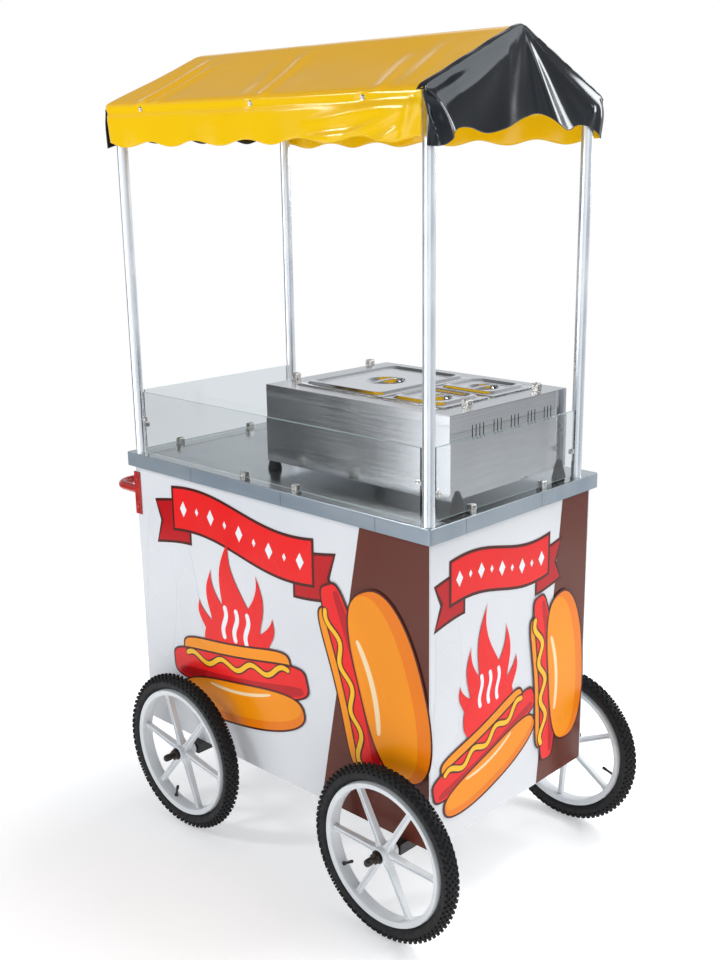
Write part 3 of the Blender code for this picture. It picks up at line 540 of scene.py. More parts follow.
def make_tyre(name, centre, radius):
    """Casing with a smooth sidewall, and staggered tread knobs."""
    rim_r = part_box(name + "_rim")[1].z - centre.z
    section_r = TYRE_SECTION - KNOB_HEIGHT
    ring_r = radius - KNOB_HEIGHT - section_r
    bead = math.acos((rim_r + 0.0004 - ring_r) / section_r)
    profile = []
    steps = 22
    for i in range(steps + 1):
        turn = -bead + 2 * bead * i / steps
        reach = section_r + 0.0007 * bell(abs(math.degrees(turn)) - 82, 5)
        profile.append((ring_r + reach * math.cos(turn), reach * math.sin(turn)))
    bm = bmesh.new()
    turned(bm, profile, 120, centre, ring=True)
    for column in range(TREAD_COLUMNS):
        out, around = wheel_ways(column * math.tau / TREAD_COLUMNS)
        for theta in TREAD_ROWS[column % 2]:
            lean = math.radians(theta)
            normal = out * math.cos(lean) + Y * math.sin(lean)
            across = Y * math.cos(lean) - out * math.sin(lean)
            foot = centre + out * ring_r + normal * (section_r - 0.0004)
            length = CROWN_KNOB if abs(theta) < 40 else SHOULDER_KNOB
            size = (length, KNOB_WIDTH, KNOB_HEIGHT)
            block(bm, foot + normal * KNOB_HEIGHT / 2, size, (around, across, normal), 0.80)
    add_piece(bm, name + "_tread", 30, name + "_wheel", "tyre_rubber", replaces=name + "_tyre")


def make_rim(name, centre, first_spoke):
    """Moulded rim with rounded lips, grooved spokes, a hub and pip marks."""
    rim_low, rim_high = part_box(name + "_rim")
    outer_r = rim_high.z - centre.z
    half = 0.0170
    bore = outer_r - 0.0145
    profile = [(outer_r, half - 0.004), (outer_r - 0.002, half), (outer_r - 0.0085, half - 0.0012),
               (bore + 0.0012, half - 0.0022), (bore, half - 0.0045), (bore - 0.0008, 0.006)]
    profile += [(radius, -height) for radius, height in reversed(profile)]
    bm = bmesh.new()
    turned(bm, profile, 120, centre, ring=True)
    hub_low = rim_low.y - centre.y
    hub_high = rim_high.y - centre.y
    hub = [(0.0064, hub_low), (0.0165, hub_low), (0.0186, hub_low + 0.002),
           (0.0186, hub_high - 0.002), (0.0165, hub_high), (0.0064, hub_high)]
    turned(bm, hub, 40, centre, ring=True)
    for i in range(SPOKES):
        turn = math.radians(first_spoke + 360 / SPOKES * i)
        add_spoke(bm, centre, turn, 0.0145, bore + 0.002)
        for offset in (-5.2, 5.2):
            out, _ = wheel_ways(turn + math.radians(offset))
            for y in (-0.0095, 0.0095):
                turned(bm, [(0.0016, -0.0006), (0.0012, 0.0012), (0.0004, 0.0016)], 8,
                       centre + out * bore + Y * y, -out)
    add_piece(bm, name + "_rim_moulding", 38, name + "_wheel", "white_rim", replaces=name + "_rim")


def add_spoke(bm, centre, turn, inner, outer):
    """A spoke with a groove down each face, flared where it meets the hub and the rim."""
    out, across = wheel_ways(turn)
    rows = []
    steps = 18
    for i in range(steps + 1):
        t = i / steps
        flare = 1 + 0.55 * bell(t, 0.09) + 0.40 * bell(1 - t, 0.06)
        width = (0.0066 - 0.0013 * t) * flare
        depth = (0.0082 - 0.0016 * t) * (1 + 0.2 * bell(t, 0.1))
        bottom = depth - 0.0028 * (1 - bell(t, 0.10) - bell(1 - t, 0.07))
        half = [(width, depth - 0.0010), (width - 0.0010, depth), (0.42 * width, depth),
                (0.30 * width, bottom)]
        face = half + [(-a, b) for a, b in reversed(half)]
        section = face + [(-a, -b) for a, b in face]
        rows.append([centre + out * (inner + (outer - inner) * t) + across * a + Y * b for a, b in section])
    skin(bm, rows, wrap=True, caps=True)


def make_valve(name, centre, angle):
    out, _ = wheel_ways(math.radians(angle))
    profile = [(0.0001, 0.0), (0.0046, 0.0), (0.0046, 0.004), (0.0030, 0.007), (0.0028, 0.022),
               (0.0036, 0.0225), (0.0038, 0.032), (0.0028, 0.0335), (0.0001, 0.0335)]
    bm = bmesh.new()
    turned(bm, profile, 20, centre + out * 0.1488, -out)
    add_piece(bm, name + "_valve", 40, name + "_wheel", "black_rubber")


def make_axle_fittings(side_name):
    """Axle bar with washers, six-sided nuts and domed caps on the threaded ends."""
    low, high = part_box(side_name + "_axle")
    centre = middle(side_name + "_axle")
    wheel_y = abs(middle(f"front_{side_name}_rim").y)
    hub_out = wheel_y + 0.0218
    hub_in = wheel_y - 0.0262
    bm = bmesh.new()
    turned(bm, [(0.008, -hub_in), (0.008, hub_in)], 24, centre)
    for way in (-Y, Y):
        turned(bm, [(0.006, hub_in - 0.001), (0.006, hub_out + 0.002)], 20, centre, way)
        turned(bm, [(0.006, hub_in - 0.008), (0.0105, hub_in - 0.008), (0.0105, hub_in - 0.004),
                    (0.0085, hub_in - 0.0006), (0.006, hub_in - 0.0006)], 28, centre, way, ring=True)
        turned(bm, [(0.0055, hub_out + 0.0004), (0.0150, hub_out + 0.0004), (0.0150, hub_out + 0.0034),
                    (0.0055, hub_out + 0.0034)], 32, centre, way, ring=True)
    add_piece(bm, side_name + "_axle_bar", 30, "cart", "black_steel", replaces=side_name + "_axle")
    for way, depth, reach in ((-Y, "front", -low.y), (Y, "rear", high.y)):
        bm = bmesh.new()
        turned(bm, [(0.0110, hub_out + 0.0032), (0.0134, hub_out + 0.0042), (0.0134, hub_out + 0.0130),
                    (0.0110, hub_out + 0.0140)], 6, centre, way)
        add_piece(bm, f"{side_name}_axle_nut_{depth}", 30, "cart", "black_steel", DARK_STEEL, edges=0.0005)
        start = hub_out + 0.0142
        end = start + THREADS * THREAD_PITCH
        profile = [(0.0060, hub_out + 0.0130)]
        for i in range(THREADS):
            y = start + i * THREAD_PITCH
            profile += [(0.0078, y), (0.0068, y + THREAD_PITCH / 2)]
        profile += [(0.0086, end), (0.0086, reach - 0.0070), (0.0078, reach - 0.0036),
                    (0.0056, reach - 0.0012), (0.0004, reach - 0.0002)]
        bm = bmesh.new()
        turned(bm, profile, 24, centre, way)
        add_piece(bm, f"{side_name}_axle_cap_{depth}", 50, "cart", "black_steel", DARK_STEEL)


def make_wheels():
    wheels = {          # name: first spoke, valve, both in degrees up from +X
        "front_left": (-9.8, -107.0),
        "front_right": (-1.5, -147.5),
        "rear_left": (20.0, 50.0),
        "rear_right": (25.5, -16.0),
    }
    for name, (first_spoke, valve) in wheels.items():
        low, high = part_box(name + "_tyre")
        centre = (low + high) / 2
        make_tyre(name, centre, high.z - centre.z)
        make_rim(name, centre, first_spoke)
        make_valve(name, centre, valve)
    for side_name in ("left", "right"):
        make_axle_fittings(side_name)


# ---------------------------------------------------------------- canopy

ROOF_LOW, ROOF_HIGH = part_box("canopy_roof")
RIDGE_Y = (ROOF_LOW.y + ROOF_HIGH.y) / 2
RIDGE_Z = ROOF_HIGH.z
ROOF_LENGTH = ROOF_HIGH.x - ROOF_LOW.x
HALF_SPAN = (ROOF_HIGH.y - ROOF_LOW.y) / 2
EAVE_DROP = 0.126
SLOPE = math.hypot(HALF_SPAN, EAVE_DROP)
VALANCE = 0.088                 # eave to the hem's mean line
LOBES = 6
LOBE_RISE = 0.0058
CLOTH = 0.0009                  # thickness
EAVE_ROUND = 0.010              # half the width over which the cloth turns down at the eave
SAG = 0.0055
WANDER = 0.0035
REAR_CREASES = 5
LEFT_PULL = 0.06                # share of the valance drawn in at its left end
BUTTONS_X = (-0.339, 0.029, 0.343)
BUTTON_DROP = 0.012             # below the eave
BUTTON_DENT = 0.0018
BORDER_ROWS = 6                 # rows of the end walls' turned-over border
# Creases up the front slope from the eave: start x and height, end x and height, rise, width
ROOF_CREASES = [
    (-0.333, 0.004, -0.381, 0.300, 0.0058, 0.022),
    (-0.285, 0.004, -0.322, 0.220, 0.0036, 0.018),
    (0.065, 0.000, -0.066, 0.300, 0.0052, 0.018),
    (0.020, 0.010, -0.095, 0.200, 0.0026, 0.020),
    (0.387, 0.000, 0.311, 0.180, 0.0034, 0.018),
    (0.420, 0.060, 0.345, 0.290, 0.0028, 0.022),
]
# Crumples in the front valance's right end: start x and drop below the eave, end, rise, width
VALANCE_CREASES = [
    (0.215, 0.052, 0.468, 0.026, 0.0050, 0.0150),
    (0.315, 0.074, 0.462, 0.040, 0.0056, 0.0120),
    (0.200, 0.082, 0.335, 0.080, 0.0046, 0.0110),
    (0.470, 0.022, 0.446, 0.084, 0.0052, 0.0120),
    (0.385, 0.090, 0.456, 0.058, 0.0040, 0.0090),
]


def hem_drop(x, phase):
    """How far below the eave the scalloped hem hangs."""
    pitch = ROOF_LENGTH / LOBES
    return VALANCE - LOBE_RISE * math.cos(math.tau * ((x - ROOF_LOW.x) / pitch + phase))


def roof_point(x, reach, side):
    """A point of the flat cloth, the way it faces there, and its distance below the eave.

    reach is the distance down from the ridge; side is -1 at the front.
    """
    flat = min(reach, SLOPE)
    y = HALF_SPAN * flat / SLOPE
    z = RIDGE_Z - EAVE_DROP * flat / SLOPE
    normal = Vector((0, side * EAVE_DROP, HALF_SPAN)).normalized()
    place = Vector((x, RIDGE_Y + side * y, z - 0.0035 * bell(reach, 0.012)))
    beyond = reach - SLOPE
    if beyond > -EAVE_ROUND:
        blend = min(1.0, (beyond + EAVE_ROUND) / (2 * EAVE_ROUND))
        blend = blend * blend * (3 - 2 * blend)
        normal = normal.lerp(Vector((0, side, 0)), blend).normalized()
    if beyond > 0:
        place.z -= beyond
    place -= Vector((0, side * 0.0016, 0.0020)) * bell(beyond, 0.008)
    return place, normal, beyond


def roof_lift(x, reach, side):
    """Sag, creases and crumples of the roof cloth, along its normal."""
    share = (x - ROOF_LOW.x) / ROOF_LENGTH
    up = SLOPE - reach
    lift = 0.0
    if up > 0:
        span = math.sin(math.pi * min(up / SLOPE, 1.0))
        lift -= SAG * span * math.sin(math.pi * share) ** 0.6
        lift += WANDER * span * noise.noise(Vector((x * 5, up * 4, 3.0 * side)))
        if side < 0:
            for x0, u0, x1, u1, rise, width in ROOF_CREASES:
                fold = line_fold(x, up, (x0, u0), (x1, u1), width)
                fold -= 0.35 * line_fold(x + 1.9 * width, up, (x0, u0), (x1, u1), 1.4 * width)
                lift += rise * fold * (1 - bell(reach, 0.09))
        else:
            for k in range(REAR_CREASES):
                x0 = ROOF_LOW.x + (0.12 + 0.19 * k) * ROOF_LENGTH
                lift += 0.0032 * line_fold(x, up, (x0, 0.0), (x0 + 0.09 - 0.04 * k, 0.28), 0.013)
    else:
        down = -up
        hang = down / VALANCE
        lift += hang * 0.0025 * math.sin(x * 21 + 1.5 * side)
        lift += hang * hang * 0.0022 * math.sin(x * 47 + 2.0)
        if side < 0:
            for x0, d0, x1, d1, rise, width in VALANCE_CREASES:
                lift += rise * line_fold(x, down, (x0, d0), (x1, d1), width)
                lift -= 0.4 * rise * line_fold(x, down - 1.4 * width, (x0, d0), (x1, d1), 0.8 * width)
        lift -= 0.0034 * bell(down - 0.018, 0.006)
        left = (x - ROOF_LOW.x) / 0.030
        if left < 1:
            lift -= 0.010 * (1 - left) ** 2 * (0.5 + 0.5 * hang)
    roll_over = (x - ROOF_LOW.x) / 0.012
    if roll_over < 1:
        lift -= 0.005 * (1 - roll_over) ** 2
    if side < 0:
        for button_x in BUTTONS_X:
            lift -= BUTTON_DENT * bell(math.hypot(x - button_x, up + BUTTON_DROP), 0.011)
    return lift


def make_roof():
    """One sheet from hem to hem over both eaves and the ridge."""
    columns = 190
    valance_rows = 16
    slope_rows = 40
    rows = []
    for side in (-1, 1):
        half = []
        for row in range(valance_rows + slope_rows + (side < 0)):
            hanging = row < valance_rows
            share = 1 - row / valance_rows if hanging else 1 - (row - valance_rows) / slope_rows
            line = []
            for i in range(columns + 1):
                t = i / columns
                x = ROOF_LOW.x + ROOF_LENGTH * t
                reach = SLOPE + hem_drop(x, 0.04 * side) * share if hanging else SLOPE * share
                place, normal, beyond = roof_point(x, reach, side)
                place += normal * roof_lift(x, reach, side)
                if beyond > 0 and t < LEFT_PULL:
                    place.x += 0.009 * (beyond / VALANCE) * (1 - t / LEFT_PULL)
                line.append(place)
            half.append(line)
        rows += half if side < 0 else half[::-1]
    bm = bmesh.new()
    skin(bm, rows)
    roof = add_piece(bm, "canopy_cloth", 60, "cart", "yellow_cloth", replaces="canopy_roof")
    thicken(roof, CLOTH)


def thicken(sheet, thickness):
    solid = sheet.modifiers.new("thickness", "SOLIDIFY")
    solid.thickness = thickness
    solid.offset = -1.0


def roof_line(across):
    return RIDGE_Z - EAVE_DROP * abs(across) / HALF_SPAN


# Hem of the right end wall: distance from the ridge line and height, front to rear
RIGHT_HEM = [(-0.288, 1.651), (-0.262, 1.650), (-0.234, 1.656), (-0.206, 1.680), (-0.165, 1.683),
             (-0.110, 1.674), (-0.053, 1.684), (0.010, 1.704), (0.062, 1.712), (0.125, 1.690),
             (0.160, 1.683), (0.205, 1.694), (0.250, 1.686), (0.288, 1.668)]
LEFT_HEM = [(-0.288, 1.656), (-0.245, 1.668), (-0.215, 1.682), (-0.144, 1.668), (-0.072, 1.684),
            (0.0, 1.668), (0.072, 1.684), (0.144, 1.668), (0.215, 1.684), (0.288, 1.664)]
# Folds fanning from the ridge: angle from straight down in degrees, rise at full reach, width
RIGHT_FAN = [(-56, 0.0050, 13), (-30, -0.0070, 15), (-5, -0.0050, 12), (15, -0.0030, 8), (30, 0.0120, 8.5),
             (46, -0.0060, 8), (60, 0.0040, 7)]
LEFT_FAN = [(-58, 0.004, 8), (-30, -0.004, 12), (5, 0.005, 7), (30, -0.004, 12), (55, 0.004, 9)]
# Gathers at the lower corners: start, end (each distance from the ridge line and height), rise, width
RIGHT_GATHERS = [
    (-0.282, 1.742, -0.222, 1.660, 0.0095, 0.010),
    (-0.278, 1.722, -0.252, 1.650, -0.0060, 0.008),
    (-0.286, 1.700, -0.270, 1.652, 0.0070, 0.007),
    (0.240, 1.730, 0.234, 1.690, 0.0030, 0.014),
]
LEFT_GATHERS = [(-0.282, 1.735, -0.240, 1.670, 0.002, 0.010), (0.282, 1.735, 0.240, 1.670, 0.004, 0.010)]


def make_gable(side_name, way, border, tuck, hem, fan, gathers):
    """End wall of the canopy; way is -1 on the left, 1 on the right.

    border is the width turned over the roof's edge, tuck how far the wall starts below that edge.
    """
    low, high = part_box(side_name + "_gable")
    face = low.x if way > 0 else high.x + tuck / 2
    columns = 150
    rows = 46
    hem_line = smooth_line(hem, 24)
    grid = []
    for j in range(-BORDER_ROWS, rows + 1):
        row = []
        for i in range(columns + 1):
            across = -HALF_SPAN + 2 * HALF_SPAN * i / columns
            bottom = hem_height(hem_line, across)
            edge = 1 - abs(across) / HALF_SPAN
            top = roof_line(across) - 0.0030 * bell(across, 0.010) - 0.0050 * bell(edge, 0.022)
            if j < 0:
                over = -j / BORDER_ROWS
                x = face + way * (0.0014 - border * (over - 1 / BORDER_ROWS) * 1.2)
                z = top + (0.0016 if j < -1 else 0.0008) - tuck
                ripple = 0.0006 * math.sin(across * 70 + over)
                row.append(Vector((x, RIDGE_Y + across * (1 + 0.004 * over - 4 * tuck), z + ripple)))
                continue
            v = j / rows
            z = top - tuck + (bottom - top + tuck) * v
            lift = gable_lift(across, z, v, top - z, edge, fan, gathers, way)
            slack = 1 - 4 * tuck - 0.012 * v * (1 - abs(across) / HALF_SPAN * 0.5)
            row.append(Vector((face + way * lift, RIDGE_Y + across * slack, z)))
        grid.append(row)
    bm = bmesh.new()
    skin(bm, grid)
    wall = add_piece(bm, side_name + "_end_cloth", 60, "cart", "black_cloth", replaces=side_name + "_gable")
    thicken(wall, CLOTH)


def gable_lift(across, z, v, drop, edge, fan, gathers, way):
    """How far an end wall stands off its plane, v being 0 at the roof and 1 at the hem."""
    down = RIDGE_Z - z
    angle = math.degrees(math.atan2(across, max(down, 0.001)))
    reach = min(1.0, math.hypot(across, down) / 0.24)
    billow = 0.0012 + 0.0070 * min(1.0, max(0.0, 0.2 - across / 0.06))
    billow *= 1 - bell(drop, 0.026)
    lift = 0.0022 + billow + 0.0030 * reach * (1 - bell(v, 0.3))
    for centre_angle, rise, width in fan:
        lift += rise * reach ** 1.2 * bell(angle - centre_angle, width) * (1 - bell(v, 0.16))
    for y0, z0, y1, z1, rise, width in gathers:
        lift += rise * line_fold(across, z, (y0, z0), (y1, z1), width)
    lift += 0.0025 * reach * v * noise.noise(Vector((across * 14, z * 9, 5 * way)))
    lift -= 0.006 * bell(edge, 0.035) * v ** 0.5
    if lift < 0.0012:
        lift = 0.0012 - 0.25 * (0.0012 - lift)
    return lift if way > 0 else lift * 0.5


def hem_height(line, across):
    for (a, low), (b, high) in zip(line, line[1:]):
        if a <= across <= b:
            return low + (high - low) * (across - a) / max(b - a, 1e-9)
    return line[-1][1] if across > 0 else line[0][1]


def make_buttons():
    """Press studs that hold the cloth to the front eave rail."""
    reach = SLOPE + BUTTON_DROP
    for number, x in enumerate(BUTTONS_X, 1):
        place, normal, _ = roof_point(x, reach, -1)
        place += normal * (roof_lift(x, reach, -1) - 0.0004)
        bm = bmesh.new()
        turned(bm, [(0.0056, 0.0), (0.0058, 0.0010), (0.0050, 0.0018), (0.0040, 0.0016), (0.0036, 0.0026),
                    (0.0022, 0.0036), (0.0002, 0.0039)], 28, place, normal)
        add_piece(bm, f"press_stud_{number}", 35, "cart", "chrome", CLIP_METAL)


# ---------------------------------------------------------------- clips, lids and small fittings

OUTWARD = {"front": -Y, "left": -X, "right": X}     # by pane of glass


def clip_body(bm, foot, along, outward):
    """A slotted clamp with rounded jaws and a socket screw. foot is the middle of its base."""
    length = 0.016
    half = 0.0085
    height = 0.0185
    slot = 0.0029
    slot_floor = 0.0062
    corner = 0.0032
    jaw = [(half, 0.0)]
    for i in range(5):
        turn = math.radians(22.5 * i)
        jaw.append((half - corner + corner * math.cos(turn), height - corner + corner * math.sin(turn)))
    jaw += [(slot, height), (slot, slot_floor)]
    outline = jaw + [(-a, b) for a, b in reversed(jaw)]
    rows = []
    for t, inset in ((-1, 0.0008), (-0.9, 0.0), (0.9, 0.0), (1, 0.0008)):
        rows.append([foot + along * (t * length / 2) + outward * (a * (1 - inset / half))
                     + Z * (b * (1 - inset / height) + inset / 2) for a, b in outline])
    skin(bm, rows, wrap=True, caps=True)
    screw = foot + outward * half + Z * 0.0120
    turned(bm, [(0.0046, -0.001), (0.0046, 0.0022), (0.0038, 0.0034), (0.0022, 0.0036), (0.0021, 0.0012),
                (0.0004, 0.0010)], 24, screw, outward)


def make_glass_clips():
    for pane, out in OUTWARD.items():
        along = X if pane == "front" else Y
        glass = middle(pane + "_glass")
        for mark in "ab":
            node = f"{pane}_glass_clip_{mark}"
            foot = middle(node)
            foot.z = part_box(node)[0].z
            if pane == "front":
                foot.y = glass.y
            else:
                foot.x = glass.x
            bm = bmesh.new()
            clip_body(bm, foot, along, out)
            add_piece(bm, node + "_clamp", 30, "cart", "chrome", CLIP_METAL, replaces=node)


def make_post_clips():
    """Small clamps that tie each pane's upright edges to the posts."""
    heights = {("front", "left"): 1.020, ("front", "right"): 1.017, ("left", "front"): 1.000,
               ("left", "rear"): 0.998, ("right", "front"): 0.993, ("right", "rear"): 0.9955}
    for (pane, end), z in heights.items():
        low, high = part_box(pane + "_glass")
        out = OUTWARD[pane]
        if pane == "front":
            post = middle("post_front_" + end)
            axis, way = 0, X
        else:
            post = middle(f"post_{end}_{pane}")
            axis, way = 1, Y
        starts = end in ("left", "front")
        reach = abs((low if starts else high)[axis] - post[axis])
        way = way if starts else -way
        post.z = z
        bm = bmesh.new()
        block(bm, post + way * (reach + 0.0030), (0.0130, 0.0104, 0.0100), (way, out, Z), 0.9)
        disc = post + way * (reach + 0.0050) + out * 0.0045
        turned(bm, [(0.0054, 0.0), (0.0054, 0.0020), (0.0046, 0.0032), (0.0022, 0.0036), (0.0018, 0.0024),
                    (0.0003, 0.0024)], 28, disc, out)
        add_piece(bm, f"post_clamp_{pane}_{end}", 30, "cart", "chrome", CLIP_METAL, edges=0.0008)


def make_deck_clamps():
    """Four empty clamps on the warmer's deck for a guard that isn't fitted."""
    low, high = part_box("warmer_deck")
    places = {"front_left": (low.x + 0.020, -0.1145), "rear_left": (low.x + 0.018, 0.1355),
              "rear_right": (high.x - 0.027, 0.139), "front_right": (high.x - 0.025, -0.105)}
    for name, (x, y) in places.items():
        out = -X if "left" in name else X
        bm = bmesh.new()
        clip_body(bm, Vector((x, y, high.z)), Y, out)
        add_piece(bm, "deck_clamp_" + name, 30, "cart", "chrome", CLIP_METAL)


def rounded_loop(centre, half_x, half_y, radius, z, steps):
    loop = []
    for corner in range(4):
        sx = 1 if corner in (0, 3) else -1
        sy = 1 if corner in (0, 1) else -1
        for step in range(steps + 1):
            turn = corner * math.pi / 2 + step * math.pi / 2 / steps
            loop.append(Vector((centre.x + sx * (half_x - radius) + radius * math.cos(turn),
                                centre.y + sy * (half_y - radius) + radius * math.sin(turn), z)))
    return loop


def dish_loop(centre, radius, z, count):
    """A round loop whose points face those of a rounded_loop."""
    per_corner = count // 4
    loop = []
    for i in range(count):
        corner, step = divmod(i, per_corner)
        turn = corner * math.pi / 2 + (step + 0.5) * math.pi / 2 / per_corner
        loop.append(Vector((centre.x + radius * math.cos(turn), centre.y + radius * math.sin(turn), z)))
    return loop


BOWL_SLOPE = math.radians(40)


def make_lid(name):
    """Pressed lid: turned rim, raised field, round dish, strap handle across the dish."""
    low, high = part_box(name)
    centre = (low + high) / 2
    half_x = (high.x - low.x) / 2
    half_y = (high.y - low.y) / 2
    dish = 0.046 if name == "lid_large" else 0.036
    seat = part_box(name.replace("lid", "pan"))[1].z + 0.0004
    steps = 9
    count = 4 * (steps + 1)
    sheet = 0.0009
    field = high.z - 0.0060
    lip = [(0.0, seat + 0.0002), (0.0, seat + sheet), (0.0015, seat + 0.0016), (0.0120, seat + 0.0014),
           (0.0145, seat + 0.0022), (0.0170, high.z - 0.0010), (0.0195, high.z - 0.0002),
           (0.0215, high.z - 0.0004), (0.0250, high.z - 0.0020), (0.0290, field + 0.0012),
           (0.0330, field + 0.0002), (0.0360, field)]
    loops = []
    for inset, z in lip:
        loops.append(rounded_loop(centre, half_x - inset, half_y - inset, 0.010 + 0.5 * inset, z, steps))
    profile = [(dish + 0.0060, 0.0), (dish + 0.0030, 0.0), (dish + 0.0010, -0.0002), (dish, -0.0010)]
    bowl = dish / math.sin(BOWL_SLOPE)
    for i in range(1, 10):
        lean = BOWL_SLOPE * (1 - i / 9.2)
        profile.append((bowl * math.sin(lean), -0.0010 - bowl * (math.cos(lean) - math.cos(BOWL_SLOPE))))
    loops += [dish_loop(centre, radius, field + z, count) for radius, z in profile]
    bm = bmesh.new()
    skin(bm, loops, wrap=True)
    bm.verts.ensure_lookup_table()
    bm.faces.new(bm.verts[-count:])
    lid = add_piece(bm, name + "_pressing", 60, name, "chrome", LID_STEEL, replaces=name)
    thicken(lid, sheet)
    strap_path = [(-dish - 0.004, -0.0004), (-dish * 0.90, 0.0010), (-dish * 0.5, 0.0022), (0.0, 0.0026),
                  (dish * 0.5, 0.0022), (dish * 0.90, 0.0010), (dish + 0.004, -0.0004)]
    rows = []
    for y, z in smooth_line(strap_path, 4):
        rows.append([Vector((centre.x + a, centre.y + y, field + z - 0.0010 + b))
                     for a, b in ((-0.0062, -0.0006), (0.0062, -0.0006), (0.0068, 0.0), (0.0062, 0.0006),
                                  (-0.0062, 0.0006), (-0.0068, 0.0))])
    bm = bmesh.new()
    skin(bm, rows, wrap=True, caps=True)
    add_piece(bm, name + "_strap", 50, name, "chrome", LID_STEEL)


def make_handle():
    """Bent tube with a flat bracket at each corner of the cabinet."""
    low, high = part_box("push_handle")
    cabinet_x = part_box("front_panel")[0].x
    radius = 0.0105
    bend = 0.040
    z = low.z + 0.0575
    leg_y = 0.272
    path = [Vector((cabinet_x - 0.002, -leg_y, z))]
    for start, side in ((0, -1), (90, 1)):
        centre = Vector((low.x + radius + bend, side * (leg_y - bend), z))
        for i in range(13):
            turn = math.radians(start + 90 * i / 12)
            path.append(centre + Vector((-math.sin(turn), -math.cos(turn), 0)) * bend)
    path.append(Vector((cabinet_x - 0.002, leg_y, z)))
    bm = bmesh.new()
    tube(bm, path, radius, 24)
    add_piece(bm, "handle_tube", 40, "cart", "red_paint", replaces="push_handle")
    plate_x = cabinet_x - 0.0042
    for side, depth, face in ((-1, "front", low.y), (1, "rear", high.y)):
        inner = face - side * 0.0040
        outline = [(cabinet_x + 0.0175, inner), (cabinet_x + 0.0175, face), (cabinet_x - 0.0032, face),
                   (plate_x, face - side * 0.001), (plate_x, side * 0.258),
                   (cabinet_x - 0.0004, side * 0.258), (cabinet_x - 0.0004, inner)]
        bm = bmesh.new()
        skin(bm, [[Vector((x, y, h)) for x, y in outline] for h in (low.z, high.z)], wrap=True, caps=True)
        for offset in (-0.036, 0.034):
            turned(bm, [(0.0046, -0.001), (0.0046, 0.0014), (0.0034, 0.0028), (0.0003, 0.0033)], 20,
                   Vector((cabinet_x + 0.008, face, z + offset)), Y * side)
        add_piece(bm, f"handle_bracket_{depth}", 35, "cart", "red_paint", edges=0.0006)
        bm = bmesh.new()
        turned(bm, [(radius - 0.0005, 0.0), (radius + 0.0030, 0.0), (radius + 0.0018, 0.0022),
                    (radius - 0.0005, 0.0034)], 24, Vector((plate_x, side * leg_y, z)), -X, ring=True)
        add_piece(bm, f"handle_weld_{depth}", 60, "cart", "red_paint")


def make_warmer_trim():
    """Pilot lamp, rocker switch, dial ring and corner rivets of the food warmer."""
    knob = middle("thermostat_knob")
    dial = Vector((knob.x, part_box("warmer_rear_housing")[1].y, knob.z))
    bm = bmesh.new()
    turned(bm, [(0.0205, 0.0), (0.0300, 0.0), (0.0300, 0.0006), (0.0205, 0.0006)], 48, dial, Y, ring=True)
    for i in range(11):
        turn = math.radians(-135 + 27 * i)
        out = X * math.sin(turn) + Z * math.cos(turn)
        side = X * math.cos(turn) - Z * math.sin(turn)
        block(bm, dial + Y * 0.0007 + out * 0.0265, (0.0010, 0.0004, 0.0040), (side, Y, out))
    add_piece(bm, "dial_ring", 30, "cart", "black_plastic", PRINTS["white"])
    bm = bmesh.new()
    turned(bm, [(0.0075, 0.0), (0.0075, 0.0016), (0.0060, 0.0024), (0.0052, 0.0052), (0.0030, 0.0070),
                (0.0003, 0.0075)], 28, dial + X * 0.055, Y)
    add_piece(bm, "pilot_lamp", 35, "cart", "black_plastic", PRINTS["deep_orange"])
    bm = bmesh.new()
    switch = dial + X * 0.100
    block(bm, switch + Y * 0.001, (0.030, 0.022, 0.002), (X, Z, Y))
    rows = []
    for share in (-1, -0.1, 0.1, 1):
        lift = 0.0022 + 0.0028 * abs(share) ** 2 * (1 if share > 0 else 0.3)
        rows.append([switch + X * 0.012 * share + Z * a + Y * b
                     for a, b in ((-0.0085, 0.001), (0.0085, 0.001), (0.0085, lift), (-0.0085, lift))])
    skin(bm, rows, wrap=True, caps=True)
    add_piece(bm, "rocker_switch", 30, "cart", "black_plastic", edges=0.0006)
    bm = bmesh.new()
    low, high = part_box("warmer_casing")
    for inset in (0.012, 0.032):
        turned(bm, [(0.0034, 0.0), (0.0030, 0.0010), (0.0003, 0.0014)], 18,
               Vector((high.x - inset, low.y, low.z + 0.024)), -Y)
    add_piece(bm, "casing_rivets", 40, "cart", "chrome")


def make_apron_seams():
    """Joints in the counter's protective film: fine raised edges round the apron."""
    low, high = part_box("countertop")
    bm = bmesh.new()
    proud = 0.00012
    height = high.z - low.z - 0.004
    z = (high.z + low.z) / 2 - 0.001
    for x in (-0.252, 0.060, 0.345):
        block(bm, Vector((x, low.y - proud / 2, z)), (0.0011, proud, height))
    for y in (-0.185, 0.075):
        block(bm, Vector((high.x + proud / 2, y, z)), (proud, 0.0011, height))
    add_piece(bm, "film_joints", 30, "cart", "filmed_steel", LOOKS["black_plastic"])


# ---------------------------------------------------------------- printed panels

LAYER = 0.00007


